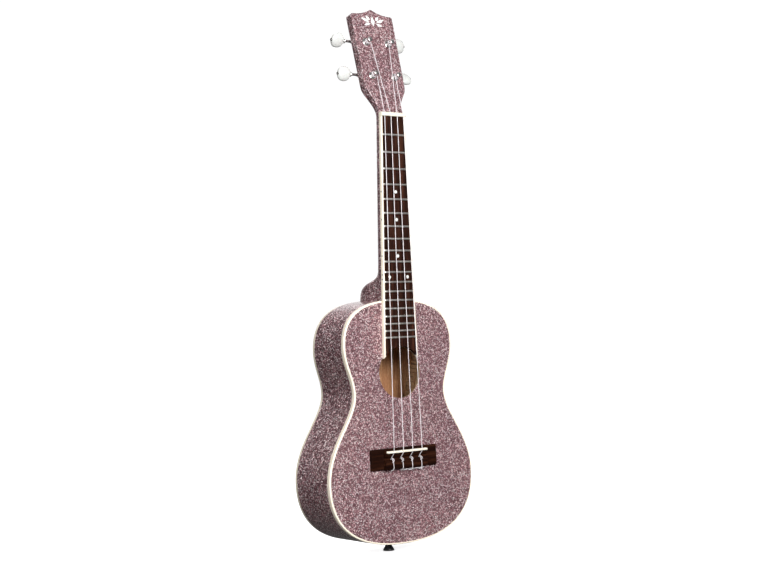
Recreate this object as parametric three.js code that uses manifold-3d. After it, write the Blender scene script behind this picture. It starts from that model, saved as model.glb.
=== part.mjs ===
// Concert ukulele: hollow body with cream binding, heeled neck with a tilted headstock,
// fretted fretboard, tie bridge, four strings and four open-gear tuners.
//
// Millimetres. +Z runs up the neck, the soundboard faces -Y and +X is to the right of a
// viewer who faces it. The origin is the centre of the strap button's flat end, which
// stands on the centre line halfway between the soundboard and the back.

import * as THREE from 'three';
import { mergeVertices } from 'three/addons/utils/BufferGeometryUtils.js';
import Module from 'manifold-3d';

const wasm = await Module();
wasm.setup();

// ---------------------------------------------------------------- driving dimensions

const SEAM = 0.3; // clearance left between pieces that are cut to fit each other

const SCALE_LENGTH = 378;
const FRET_COUNT = 19;
const BODY_FRET = 14; // the fret at which the neck meets the body

// Half outline of the body, with heights measured from its lower end.
const STRAP_BUTTON_LENGTH = 11;
const BODY_BOTTOM = STRAP_BUTTON_LENGTH;
const BODY_LENGTH = 277.3;
const BODY_TOP = BODY_BOTTOM + BODY_LENGTH;
const LOWER_BOUT = { half: 103.3, height: 74.3 };
const WAIST = { half: 65.2, height: 171.1 };
const UPPER_BOUT = { half: 77.8, height: 225.1 };

const FRONT_Y = -32; // front face of the soundboard
const PLATE_THICKNESS = 2;
const SIDE_THICKNESS = 1.8;
const BINDING_WIDTH = 2;
const FRONT_BINDING_DEPTH = 4.8;
const BACK_BINDING_DEPTH = 4;
const LINING_WIDTH = 5.5;
const LINING_DEPTH = 11;
const LINING_OUTER = SIDE_THICKNESS + SEAM; // insets from the outline
const LINING_INNER = LINING_OUTER + LINING_WIDTH;
const INSIDE_FRONT = FRONT_Y + PLATE_THICKNESS;
const INSIDE_BACK = PLATE_THICKNESS + SEAM; // offset from the back's outer face

// The back is a shallow lengthwise arch.
const BACK_APEX = { y: 35, z: 107 };
const BACK_RADIUS = 1250;
const BACK_TAIL_RADIUS = 5000; // flatter below its apex
const BACK_FACET = 22; // length of one flat of the arch
const BACK_FACETS = { first: -5.5, last: 9.5 }; // joints of the flats, counted from the apex
const BOX_REACH = 130; // half width of the blocks that cut right across the body

const NUT_THICKNESS = 4.6;
const NUT_Z = BODY_TOP + fretDistance(BODY_FRET) - 0.9;
const SADDLE_Z = NUT_Z - SCALE_LENGTH - 2.5;
const HOLE = { z: NUT_Z - 291.5, radius: 29.2 };

const NECK_BLOCK = { half: 27, length: 26 };
const TAIL_BLOCK = { half: 24, length: 18 };
const TOP_BRACE = { width: 8, height: 8, distance: HOLE.radius + 9 }; // distance from the hole's centre
const BACK_BRACE = { width: 8, height: 9, z: HOLE.z - HOLE.radius - 39 };

const FRETBOARD_THICKNESS = 4.2;
const FRETBOARD_Y = FRONT_Y - FRETBOARD_THICKNESS;
const FRETBOARD_BINDING = 1.8;
const NUT_HALF_WIDTH = 17.2;
const FRETBOARD_TAPER = 0.026; // growth of the half width per millimetre below the nut
const FRET = { height: 0.9, half: 1.0, tangHalf: 0.3, tangDepth: 1.6 };

const HEAD_TILT = THREE.MathUtils.degToRad(14);
const HEAD_THICKNESS = 10.8;
const HEAD_LENGTH = 128.2;
const HEAD_Z = NUT_Z + NUT_THICKNESS + SEAM; // where the head's face leaves the nut

const BRIDGE = { half: 47, bottom: SADDLE_Z - 19.6, top: SADDLE_Z + 3.9, centreHalf: 30 };
const TIE_BLOCK = { top: BRIDGE.bottom + 10.5, height: 8, holeHeight: 3.9, holeRadius: 1.1 };
const SADDLE = { half: 29, thickness: 2.6, foot: 4, crest: 9.8 };
const STRING_RADIUS = 0.4;
const STRING_NUT_X = [-13.46, -4.49, 4.49, 13.46];
const STRING_SADDLE_X = [-20.3, -6.77, 6.77, 20.3];
const STRING_SADDLE_HEIGHT = 10.5; // string centre above the soundboard
const STRING_NUT_HEIGHT = 6.3;

// Tuners: post on the head's plane, worm above it and across the head.
const POST_X = 16.3;
const POST_STATIONS = [44.2, 85.5]; // along the head from its lower end
const POST_RADIUS = 2.9;
const POST_WAIST = { radius: 2.4, low: 2.2, high: 5.6 }; // heights above the head's face
const POST_COLLAR = 3.5;
const POST_REACH = 9.3; // above the head's face
const WINDING = { turns: 1.75, steps: 8, high: 4.9, low: 2.7 }; // heights above the head's face
const GEAR = { teeth: 14, pitch: 4.7, root: 3.95, tip: 5.2, depth: 5.1, half: 1.2 };
const WORM = { pitch: 2.0, root: 1.35, tip: 2.55, half: 3.1 };
const WORM_LEAD = (2 * Math.PI * GEAR.pitch) / GEAR.teeth;
const WORM_OFFSET = GEAR.pitch + WORM.pitch;
const PLATE = { half: 6.5, low: -9.5, high: 14, thickness: 1 };
const PLATE_SCREW = { radius: 1.3, low: -7, high: 12 };
const SHAFT_RADIUS = 1.3;
const EAR = { inner: 4, thickness: 1.2, low: 4.2, high: 9.8, reach: 8, bore: SHAFT_RADIUS + 0.35 };
const KNOB = { centre: 27.9, length: 17.4, width: 17, thickness: 8.4, shaftRadius: 1.5 };
const KNOB_TURNS = [25, -20, 40, 15]; // how far each button is turned, in degrees

// ---------------------------------------------------------------- materials

const finish = (color, roughness, metalness = 0) =>
  new THREE.MeshStandardMaterial({ color, roughness, metalness });

const glitter = finish(0x8f6f74, 0.25, 0.2);
const cream = finish(0xf2e6cf, 0.35);
const rosewood = finish(0x2e1a12, 0.55);
const mahogany = finish(0x8a5633, 0.6);
const spruce = finish(0xd2ac72, 0.7);
const steel = finish(0xc9c9c6, 0.25, 1);
const pearl = finish(0xeff0ea, 0.2);
const nylon = finish(0xf3f1ee, 0.35);
const blackPlastic = finish(0x0d0d0e, 0.3);

// ---------------------------------------------------------------- shape helpers

function toSolid(geometry) {
  const bare = geometry.clone();
  bare.deleteAttribute('normal');
  bare.deleteAttribute('uv');
  const merged = mergeVertices(bare, 1e-4);
  return new wasm.Manifold(new wasm.Mesh({
    numProp: 3,
    vertProperties: new Float32Array(merged.attributes.position.array),
    triVerts: new Uint32Array(merged.index.array),
  }));
}

function toGeometry(solid) {
  const mesh = solid.getMesh();
  const geometry = new THREE.BufferGeometry();
  geometry.setAttribute('position', new THREE.BufferAttribute(mesh.vertProperties, 3));
  geometry.setIndex(new THREE.BufferAttribute(mesh.triVerts, 1));
  geometry.computeVertexNormals();
  return geometry;
}

// An outline of (x, z) points, extruded from its back face at yBack to its front at yFront.
function facing(points, yBack, yFront, holes = []) {
  const shape = new THREE.Shape(points);
  shape.holes = holes.map((hole) => new THREE.Path(hole));
  const depth = yBack - yFront;
  const extruded = new THREE.ExtrudeGeometry(shape, { depth, bevelEnabled: false });
  return extruded.rotateX(Math.PI / 2).translate(0, yBack, 0);
}

// A side profile of (y, z) points, extruded from x0 to x1.
function across(points, x0, x1) {
  const shape = new THREE.Shape(points);
  const extruded = new THREE.ExtrudeGeometry(shape, { depth: x1 - x0, bevelEnabled: false });
  const turn = new THREE.Matrix4().makeBasis(
    new THREE.Vector3(0, 1, 0),
    new THREE.Vector3(0, 0, 1),
    new THREE.Vector3(1, 0, 0),
  );
  return extruded.applyMatrix4(turn).translate(x0, 0, 0);
}

function block(x, y, z) {
  const size = [x, y, z].map(([low, high]) => high - low);
  const middle = [x, y, z].map(([low, high]) => (low + high) / 2);
  return new THREE.BoxGeometry(...size).translate(...middle);
}

function circle(radius, x, z, sides) {
  const points = [];
  for (let i = 0; i < sides; i += 1) {
    const angle = (2 * Math.PI * i) / sides;
    points.push(new THREE.Vector2(x + radius * Math.cos(angle), z + radius * Math.sin(angle)));
  }
  return points;
}

// Skins rings of equal point counts, in order, and closes both ends with flat fans.
function loft(rings) {
  const count = rings[0].length;
  const vertices = rings.flat();
  const triangles = [];
  for (let r = 0; r < rings.length - 1; r += 1) {
    for (let i = 0; i < count; i += 1) {
      const next = (i + 1) % count;
      const [a, b] = [r * count + i, r * count + next];
      triangles.push(a, b, b + count, a, b + count, a + count);
    }
  }
  const addCap = (ring, start, flip) => {
    const middle = ring.reduce((sum, p) => sum.add(p), new THREE.Vector3());
    vertices.push(middle.divideScalar(count));
    for (let i = 0; i < count; i += 1) {
      const [a, b] = [start + i, start + ((i + 1) % count)];
      triangles.push(vertices.length - 1, flip ? b : a, flip ? a : b);
    }
  };
  addCap(rings[0], 0, true);
  addCap(rings[rings.length - 1], (rings.length - 1) * count, false);
  const geometry = new THREE.BufferGeometry().setFromPoints(vertices);
  geometry.setIndex(triangles);
  return geometry;
}

// Mirrors a shape from the right of the centre plane to its left.
function mirrored(geometry) {
  const copy = mergeVertices(geometry.clone()).scale(-1, 1, 1);
  const index = copy.index.array;
  for (let i = 0; i < index.length; i += 3) {
    [index[i], index[i + 1]] = [index[i + 1], index[i]];
  }
  copy.computeVertexNormals();
  return copy;
}

// A polyline whose stations are its own points, for sweeping a string.
class Route extends THREE.Curve {
  constructor(points) {
    super();
    this.points = points;
  }

  getPoint(t, target = new THREE.Vector3()) {
    const place = t * (this.points.length - 1);
    const start = Math.min(Math.floor(place), this.points.length - 2);
    return target.lerpVectors(this.points[start], this.points[start + 1], place - start);
  }

  getUtoTmapping(u) {
    return u;
  }
}

// ---------------------------------------------------------------- the part

const ukulele = new THREE.Group();

function addPart(name, geometry, material, parent = ukulele) {
  const mesh = new THREE.Mesh(geometry, material);
  mesh.name = name;
  parent.add(mesh);
  return mesh;
}

function fretDistance(number) {
  return SCALE_LENGTH * (1 - 2 ** (-number / 12));
}

function fretboardHalf(z) {
  return NUT_HALF_WIDTH + FRETBOARD_TAPER * (NUT_Z - z);
}

// ---------------------------------------------------------------- body

// The right half of the body's outline, from tail to neck, moved inwards by inset.
function halfOutline(inset) {
  const at = (half, height) => new THREE.Vector2(half, BODY_BOTTOM + height);
  const { half: lower, height: lowerZ } = LOWER_BOUT;
  const { half: waist, height: waistZ } = WAIST;
  const { half: upper, height: upperZ } = UPPER_BOUT;
  const arcs = [
    [at(0, 0), at(31.2, 0), at(lower, lowerZ - 70), at(lower, lowerZ)],
    [at(lower, lowerZ), at(lower, lowerZ + 43), at(waist, waistZ - 26.4), at(waist, waistZ)],
    [at(waist, waistZ), at(waist, waistZ + 17.7), at(upper, upperZ - 21.1), at(upper, upperZ)],
    [at(upper, upperZ), at(upper, upperZ + 31.4), at(59.8, BODY_LENGTH), at(0, BODY_LENGTH)],
  ];
  const steps = 8;
  const points = [];
  arcs.forEach((corners, arc) => {
    const curve = new THREE.CubicBezierCurve(...corners);
    for (let i = arc === 0 ? 0 : 1; i <= steps; i += 1) {
      const place = curve.getPoint(i / steps);
      const along = curve.getTangent(i / steps);
      points.push(new THREE.Vector2(place.x - inset * along.y, place.y + inset * along.x));
    }
  });
  points[0].x = 0;
  points[points.length - 1].x = 0;
  return points;
}

function mirrorHalf(points) {
  return points.map((p) => new THREE.Vector2(-p.x, p.y)).reverse();
}

function outline(inset) {
  const half = halfOutline(inset);
  return [...half, ...mirrorHalf(half).slice(1, -1)];
}

// Everything in front of the back's outer face moved forwards by offset.
function beforeBack(offset) {
  const points = [];
  for (let facet = BACK_FACETS.first; facet <= BACK_FACETS.last; facet += 1) {
    const rise = facet * BACK_FACET;
    const radius = facet < -1 ? BACK_TAIL_RADIUS : BACK_RADIUS;
    const sag = radius - Math.sqrt(radius ** 2 - rise ** 2);
    points.push(new THREE.Vector2(BACK_APEX.y - sag - offset, BACK_APEX.z + rise));
  }
  const [first, last] = [points[0], points[points.length - 1]];
  const front = FRONT_Y - 20;
  points.push(new THREE.Vector2(front, last.y), new THREE.Vector2(front, first.y));
  return toSolid(across(points, -BOX_REACH, BOX_REACH));
}

function backLayer(points, from, to, holes = []) {
  const slab = toSolid(facing(points, BACK_APEX.y + 1, -15, holes));
  return slab.intersect(beforeBack(from)).subtract(beforeBack(to));
}

function addPlates() {
  const inner = outline(BINDING_WIDTH + SEAM);
  const hole = circle(HOLE.radius, 0, HOLE.z, 40);
  addPart('soundboard', facing(inner, FRONT_Y + PLATE_THICKNESS, FRONT_Y, [hole]), glitter);
  addPart('back_plate', toGeometry(backLayer(inner, 0, PLATE_THICKNESS)), glitter);
}

function addBindings() {
  const inner = outline(BINDING_WIDTH);
  const front = facing(outline(0), FRONT_Y + FRONT_BINDING_DEPTH, FRONT_Y, [inner]);
  addPart('front_binding', front, cream);
  const back = backLayer(outline(0), 0, BACK_BINDING_DEPTH, [inner]);
  addPart('back_binding', toGeometry(back), cream);
}

// The two bent sides meet on the centre line at the tail and under the heel.
function addSides() {
  const split = (points) => points.map((p) => new THREE.Vector2(Math.max(p.x, SEAM / 2), p.y));
  const wall = [...split(halfOutline(0)), ...split(halfOutline(SIDE_THICKNESS)).reverse()];
  const front = FRONT_Y + FRONT_BINDING_DEPTH + SEAM;
  const slab = toSolid(facing(wall, BACK_APEX.y + 1, front));
  const right = toGeometry(slab.intersect(beforeBack(BACK_BINDING_DEPTH + SEAM)));
  addPart('side_right', right, glitter);
  addPart('side_left', mirrored(right), glitter);
}

function addLinings() {
  const [outer, inner] = [outline(LINING_OUTER), outline(LINING_INNER)];
  addPart('front_lining', facing(outer, INSIDE_FRONT + LINING_DEPTH, INSIDE_FRONT, [inner]), mahogany);
  const back = backLayer(outer, INSIDE_BACK, INSIDE_BACK + LINING_DEPTH, [inner]);
  addPart('back_lining', toGeometry(back), mahogany);
}

// Neck and tail blocks reach the side between the linings and step in behind them.
function addBlocks() {
  const core = toSolid(facing(outline(LINING_INNER + SEAM), BACK_APEX.y, INSIDE_FRONT));
  const inside = core.intersect(beforeBack(INSIDE_BACK));
  const front = INSIDE_FRONT + LINING_DEPTH + SEAM;
  const band = toSolid(facing(outline(LINING_OUTER), BACK_APEX.y, front));
  const solid = inside.add(band.intersect(beforeBack(INSIDE_BACK + LINING_DEPTH + SEAM)));
  const reach = [FRONT_Y, BACK_APEX.y + 5];
  const neckEnds = [BODY_TOP - NECK_BLOCK.length, BODY_TOP];
  const tailEnds = [BODY_BOTTOM, BODY_BOTTOM + TAIL_BLOCK.length];
  const neckZone = block([-NECK_BLOCK.half, NECK_BLOCK.half], reach, neckEnds);
  const tailZone = block([-TAIL_BLOCK.half, TAIL_BLOCK.half], reach, tailEnds);
  addPart('neck_block', toGeometry(solid.intersect(toSolid(neckZone))), mahogany);
  addPart('tail_block', toGeometry(solid.intersect(toSolid(tailZone))), mahogany);
}

// Transverse bars under the two plates, as long as the linings leave room for.
function addBraces() {
  const room = toSolid(facing(outline(LINING_INNER + SEAM), BACK_APEX.y, INSIDE_FRONT));
  const bar = (depths, z, width) =>
    room.intersect(toSolid(block([-BOX_REACH, BOX_REACH], depths, [z - width / 2, z + width / 2])));
  const front = [INSIDE_FRONT, INSIDE_FRONT + TOP_BRACE.height];
  for (const [label, side] of [['upper', 1], ['lower', -1]]) {
    const z = HOLE.z + side * TOP_BRACE.distance;
    addPart(`top_brace_${label}`, toGeometry(bar(front, z, TOP_BRACE.width)), spruce);
  }
  const whole = bar([0, BACK_APEX.y], BACK_BRACE.z, BACK_BRACE.width);
  const layer = beforeBack(INSIDE_BACK).subtract(beforeBack(INSIDE_BACK + BACK_BRACE.height));
  addPart('back_brace', toGeometry(whole.intersect(layer)), spruce);
}

function addStrapButton() {
  const profile = [[0, 0], [5.2, 0], [6.3, 0.7], [6.6, 1.8], [5.6, 3.6], [4.1, 6], [3.4, 8.6]];
  profile.push([3.3, STRAP_BUTTON_LENGTH - SEAM / 2], [0, STRAP_BUTTON_LENGTH - SEAM / 2]);
  const points = profile.map(([radius, height]) => new THREE.Vector2(radius, height));
  addPart('strap_button', new THREE.LatheGeometry(points, 16).rotateX(Math.PI / 2), blackPlastic);
}

// ---------------------------------------------------------------- neck and headstock

const headFrame = new THREE.Group(); // origin where the head's face leaves the nut
headFrame.position.set(0, FRONT_Y, HEAD_Z);
headFrame.rotation.x = -HEAD_TILT;
ukulele.add(headFrame);

function onHead(geometry) {
  return geometry.rotateX(-HEAD_TILT).translate(0, FRONT_Y, HEAD_Z);
}

// One level of the neck: a half superellipse behind a flat top; a larger power makes it squarer.
function neckLevel(z, half, topDepth, backDepth, power) {
  const sides = 12;
  const swell = (part) => Math.sign(part) * Math.abs(part) ** (2 / power);
  const ring = [];
  for (let i = 0; i <= sides; i += 1) {
    const angle = (Math.PI * i) / sides;
    const across = i === sides / 2 ? 0 : swell(Math.cos(angle));
    const deep = i === 0 || i === sides ? 0 : swell(Math.sin(angle));
    const y = FRONT_Y + topDepth + (backDepth - topDepth) * deep;
    ring.push(new THREE.Vector3(half * across, y, z));
  }
  return ring;
}

// The head's outline: hips above the nut, straight cheeks and a peaked top with hollow shoulders.
function headOutline() {
  const foot = 17.3;
  const shape = new THREE.Shape();
  shape.moveTo(0, 0);
  shape.lineTo(foot, 0);
  shape.bezierCurveTo(foot, 9, 19.5, 14.5, 23.2, 20);
  shape.bezierCurveTo(26.5, 24.8, 28.4, 26.5, 28.9, 32);
  shape.lineTo(30, 119.2);
  shape.quadraticCurveTo(30, 121, 28.2, 121);
  shape.bezierCurveTo(17, 121, 8, 123.4, 0, HEAD_LENGTH);
  const points = shape.getPoints(5);
  const half = points.filter((p, i) => i === 0 || p.distanceTo(points[i - 1]) > 1e-6);
  return [...half, ...mirrorHalf(half).slice(1, -1)];
}

function addNeck() {
  const slope = Math.tan(HEAD_TILT);
  const headRise = 21;
  const headTop = (headRise - (HEAD_Z - NUT_Z)) * slope;
  const levels = [ // height above the nut, half width, depths of top and back, power
    [headRise, 16, headTop + 0.6, 15.4, 2.3],
    [9, 16.9, 1.6, 14.7, 2.3],
    [0, NUT_HALF_WIDTH, 0, 13.8, 2.3],
    [-90, 19.5, 0, 15, 2.3],
    [-172, 21.6, 0, 16.3, 2.3],
    [-180, 21.8, 0, 18.6, 2.3],
    [-184, 21.9, 0, 23.5, 2.4],
    [-187, 22, 0, 30.5, 2.9],
    [-190, 22.1, 0, 39.5, 3.5],
    [-194.5, 22.2, 0, 47, 4],
    [-200, 22.3, 0, 51, 4],
    [-216, 22.6, 0, 53.4, 4],
  ];
  const rings = levels.map(([rise, ...rest]) => neckLevel(NUT_Z + rise, ...rest));
  const shaft = toSolid(loft(rings.reverse()));
  const bores = POST_STATIONS.flatMap((station) =>
    [-POST_X, POST_X].map((x) => circle(POST_RADIUS + SEAM * 1.5, x, station, 12)));
  const head = toSolid(onHead(facing(headOutline(), HEAD_THICKNESS, 0, bores)));
  const body = toSolid(facing(outline(-SEAM), BACK_APEX.y + 20, FRONT_Y - 1));
  addPart('neck', toGeometry(shaft.subtract(body).add(head)), glitter);
}

function boardShape(inset) {
  const end = HOLE.z + 4;
  const corner = (side, z) => new THREE.Vector2(side * (fretboardHalf(z) - inset), z);
  return [corner(1, end), corner(1, NUT_Z), corner(-1, NUT_Z), corner(-1, end)];
}

// The fretboard stops in an arc flush with the sound hole.
function addFretboard() {
  const flush = circle(HOLE.radius + 0.4, 0, HOLE.z, 40);
  const cutter = toSolid(facing(flush, FRONT_Y + 5, FRETBOARD_Y - 5));
  const board = toSolid(facing(boardShape(FRETBOARD_BINDING + SEAM / 2), FRONT_Y, FRETBOARD_Y));
  const slots = [];
  for (let fret = 1; fret <= FRET_COUNT; fret += 1) {
    const z = NUT_Z - fretDistance(fret);
    const reach = FRET.tangHalf + SEAM / 2;
    const depth = [FRETBOARD_Y - 1, FRETBOARD_Y + FRET.tangDepth + SEAM / 2];
    slots.push(toSolid(block([-40, 40], depth, [z - reach, z + reach])));
  }
  const slotted = board.subtract(cutter).subtract(wasm.Manifold.union(slots));
  addPart('fretboard', toGeometry(slotted), rosewood);

  const [rightEnd, rightNut, leftNut, leftEnd] = boardShape(0);
  const width = new THREE.Vector2(FRETBOARD_BINDING, 0);
  const strips = {
    right: [rightEnd, rightNut, rightNut.clone().sub(width), rightEnd.clone().sub(width)],
    left: [leftNut, leftEnd, leftEnd.clone().add(width), leftNut.clone().add(width)],
  };
  for (const [side, points] of Object.entries(strips)) {
    const strip = toSolid(facing(points, FRONT_Y, FRETBOARD_Y)).subtract(cutter);
    addPart(`fretboard_binding_${side}`, toGeometry(strip), cream);
  }
}

function addFrets() {
  const { height, half, tangHalf, tangDepth } = FRET;
  for (let fret = 1; fret <= FRET_COUNT; fret += 1) {
    const z = NUT_Z - fretDistance(fret);
    const profile = [
      [0, -half], [-height * 0.75, -half * 0.6], [-height, 0], [-height * 0.75, half * 0.6], [0, half],
      [0, tangHalf], [tangDepth, tangHalf], [tangDepth, -tangHalf], [0, -tangHalf],
    ];
    const points = profile.map(([y, dz]) => new THREE.Vector2(FRETBOARD_Y + y, z + dz)).reverse();
    const reach = fretboardHalf(z) - FRETBOARD_BINDING - SEAM / 2;
    addPart(`fret_${String(fret).padStart(2, '0')}`, across(points, -reach, reach), steel);
  }
}

function addNut() {
  const crest = FRONT_Y - STRING_NUT_HEIGHT;
  const seat = NUT_Z + 0.02;
  const profile = [
    [FRONT_Y, seat], [FRONT_Y, NUT_Z + NUT_THICKNESS], [crest + 1.6, NUT_Z + NUT_THICKNESS],
    [crest + 0.3, NUT_Z + NUT_THICKNESS * 0.6], [crest, NUT_Z + 1], [crest + 0.1, seat],
  ];
  const bar = across(profile.map(([y, z]) => new THREE.Vector2(y, z)), -NUT_HALF_WIDTH, NUT_HALF_WIDTH);
  const reach = STRING_RADIUS + SEAM;
  const floor = [
    [crest - 2, NUT_Z - 1], [crest + reach, NUT_Z - 1], [crest + reach, NUT_Z + 1],
    [crest + reach + 1.6, NUT_Z + NUT_THICKNESS + 1], [crest - 2, NUT_Z + NUT_THICKNESS + 1],
  ].map(([y, z]) => new THREE.Vector2(y, z)).reverse();
  const slots = STRING_NUT_X.map((x) => toSolid(across(floor, x - reach, x + reach)));
  addPart('nut', toGeometry(toSolid(bar).subtract(wasm.Manifold.union(slots))), cream);
}

// ---------------------------------------------------------------- bridge

function addBridge() {
  const section = (heights) =>
    heights.map(([height, z]) => new THREE.Vector2(FRONT_Y - height, z)).reverse();
  const { bottom, top } = BRIDGE;
  const wing = section([
    [0, bottom], [2.4, bottom], [3.4, bottom + 1], [3.4, top - 1], [2.4, top], [0, top],
  ]);
  const centre = section([
    [0, bottom], [7.4, bottom], [TIE_BLOCK.height, bottom + 0.8], [TIE_BLOCK.height, TIE_BLOCK.top - 0.8],
    [7.2, TIE_BLOCK.top], [3.8, TIE_BLOCK.top + 1.2], [3.8, SADDLE_Z - 6.4], [7.4, SADDLE_Z - 3.4],
    [7.8, SADDLE_Z + 1.6], [5, top], [0, top],
  ]);
  const wings = toSolid(across(wing, -BRIDGE.half, BRIDGE.half));
  const middle = toSolid(across(centre, -BRIDGE.centreHalf, BRIDGE.centreHalf));
  const slotHalf = SADDLE.thickness / 2 + SEAM / 2;
  const slot = toSolid(block(
    [-SADDLE.half - SEAM, SADDLE.half + SEAM],
    [FRONT_Y - 20, FRONT_Y - SADDLE.foot],
    [SADDLE_Z - slotHalf, SADDLE_Z + slotHalf],
  ));
  const holes = STRING_SADDLE_X.map((x) => {
    const bore = new THREE.CylinderGeometry(TIE_BLOCK.holeRadius, TIE_BLOCK.holeRadius, 14, 8);
    bore.rotateX(Math.PI / 2).translate(x, FRONT_Y - TIE_BLOCK.holeHeight, bottom + 5);
    return toSolid(bore);
  });
  const bridge = wings.add(middle).subtract(slot).subtract(wasm.Manifold.union(holes));
  addPart('bridge', toGeometry(bridge), rosewood);

  const { foot, crest } = SADDLE;
  const crown = [
    [foot, -1], [crest - 0.8, -1], [crest, -0.35], [crest, 0.35], [crest - 0.8, 1], [foot, 1],
  ];
  const saddle = crown.map(([height, side]) =>
    new THREE.Vector2(FRONT_Y - height, SADDLE_Z + (side * SADDLE.thickness) / 2)).reverse();
  addPart('saddle', across(saddle, -SADDLE.half, SADDLE.half), cream);
}

// ---------------------------------------------------------------- tuners

// Tuner pieces are shaped for the right side, about the post's axis where it leaves the
// head's back: x outwards along the knob shaft, y backwards, z up the head.

function postShape() {
  const face = -HEAD_THICKNESS;
  const tip = face - POST_REACH;
  const profile = [
    [0, tip], [POST_RADIUS - 0.7, tip], [POST_RADIUS, tip + 0.7],
    [POST_RADIUS, face - POST_WAIST.high - 0.8], [POST_WAIST.radius, face - POST_WAIST.high],
    [POST_WAIST.radius, face - POST_WAIST.low], [POST_RADIUS, face - POST_WAIST.low + 0.8],
    [POST_RADIUS, PLATE.thickness + SEAM], [POST_COLLAR, PLATE.thickness + SEAM],
    [POST_COLLAR, GEAR.depth], [2.3, GEAR.depth], [2.3, 7.6], [1.8, 8], [0, 8],
  ];
  const points = profile.map(([radius, y]) => new THREE.Vector2(radius, y));
  return toSolid(new THREE.LatheGeometry(points, 10));
}

// Teeth lean along the gear's thickness to follow the worm's lead.
function gearShape() {
  const lean = Math.atan(WORM_LEAD / (2 * Math.PI * WORM.pitch));
  const corners = [[GEAR.root, -0.157], [GEAR.tip, -0.048], [GEAR.tip, 0.048], [GEAR.root, 0.157]];
  const layer = (offset) => {
    const twist = (offset * Math.tan(lean)) / GEAR.pitch;
    const ring = [];
    for (let tooth = 0; tooth < GEAR.teeth; tooth += 1) {
      for (const [radius, side] of corners) {
        const angle = Math.PI / 2 + (2 * Math.PI * tooth) / GEAR.teeth + side + twist;
        const [x, z] = [radius * Math.cos(angle), radius * Math.sin(angle)];
        ring.push(new THREE.Vector3(x, GEAR.depth + offset, z));
      }
    }
    return ring;
  };
  return toSolid(loft([layer(GEAR.half), layer(-GEAR.half)]));
}

function wormShape() {
  const innerEnd = -EAR.inner - EAR.thickness - 1;
  const shoulder = EAR.inner + EAR.thickness + SEAM;
  const outerEnd = KNOB.centre + 1;
  const profile = [
    [0, innerEnd], [SHAFT_RADIUS, innerEnd], [SHAFT_RADIUS, -EAR.inner + 0.2],
    [WORM.root, -EAR.inner + 0.2], [WORM.root, EAR.inner - 0.2], [SHAFT_RADIUS, EAR.inner - 0.2],
    [SHAFT_RADIUS, shoulder], [2.7, shoulder], [2.5, 8], [1.6, 12.5],
    [KNOB.shaftRadius, outerEnd], [0, outerEnd],
  ];
  const points = profile.map(([radius, x]) => new THREE.Vector2(radius, x));
  const shaft = toSolid(new THREE.LatheGeometry(points, 8).rotateZ(-Math.PI / 2));
  const stepsPerTurn = 11;
  const turns = (2 * WORM.half) / WORM_LEAD;
  const steps = Math.round(turns * stepsPerTurn);
  const rings = [];
  for (let i = 0; i <= steps; i += 1) {
    const x = -WORM.half + (2 * WORM.half * i) / steps;
    const angle = -Math.PI / 2 - (2 * Math.PI * (x - WORM_LEAD / 2)) / WORM_LEAD;
    rings.push([[1.1, -0.64], [WORM.tip, -0.28], [WORM.tip, 0.28], [1.1, 0.64]].map(([radius, side]) =>
      new THREE.Vector3(x + side, radius * Math.cos(angle), radius * Math.sin(angle))));
  }
  const thread = toSolid(loft(rings));
  return shaft.add(thread).translate([0, GEAR.depth, WORM_OFFSET]);
}

// A flat plate with a bore for the post, two screw holes and two ears that carry the worm.
function plateShape() {
  const corner = 2.5;
  const { half, low, high, thickness } = PLATE;
  const shape = new THREE.Shape();
  shape.absarc(half - corner, high - corner, corner, 0, Math.PI / 2);
  shape.absarc(corner - half, high - corner, corner, Math.PI / 2, Math.PI);
  shape.absarc(corner - half, low + corner, corner, Math.PI, Math.PI * 1.5);
  shape.absarc(half - corner, low + corner, corner, Math.PI * 1.5, Math.PI * 2);
  const holes = [
    circle(POST_RADIUS + SEAM, 0, 0, 10),
    circle(PLATE_SCREW.radius, 0, PLATE_SCREW.low, 6),
    circle(PLATE_SCREW.radius, 0, PLATE_SCREW.high, 6),
  ];
  let solid = toSolid(facing(shape.getPoints(2), thickness, 0, holes));
  for (const side of [-1, 1]) {
    const ends = [side * EAR.inner, side * (EAR.inner + EAR.thickness)].sort((a, b) => a - b);
    const ear = toSolid(block(ends, [0.5, EAR.reach], [EAR.low, EAR.high]));
    const bore = new THREE.CylinderGeometry(EAR.bore, EAR.bore, 20, 8).rotateZ(Math.PI / 2);
    solid = solid.add(ear.subtract(toSolid(bore.translate(0, GEAR.depth, WORM_OFFSET))));
  }
  return solid;
}

// A rounded pebble on the shaft's end, flattened across it and bored to take the shaft.
function knobShape(turn) {
  const steps = 7;
  const points = [];
  for (let i = 0; i <= steps; i += 1) {
    const along = -Math.cos((Math.PI * i) / steps);
    const half = (KNOB.width / 2) * (1 - Math.abs(along) ** 2.5) ** 0.45;
    points.push(new THREE.Vector2(i === 0 || i === steps ? 0 : half, (along * KNOB.length) / 2));
  }
  const pebble = new THREE.LatheGeometry(points, 12).rotateZ(-Math.PI / 2);
  pebble.scale(1, KNOB.thickness / KNOB.width, 1);
  const depth = KNOB.length / 2 + 1 + SEAM;
  const radius = KNOB.shaftRadius + SEAM;
  const bore = new THREE.CylinderGeometry(radius, radius, depth + 2, 8).rotateZ(Math.PI / 2);
  bore.translate(1 + SEAM - (depth + 2) / 2, 0, 0);
  const solid = toSolid(pebble.rotateX(turn)).subtract(toSolid(bore));
  return solid.translate([KNOB.centre, GEAR.depth, WORM_OFFSET]);
}

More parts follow.
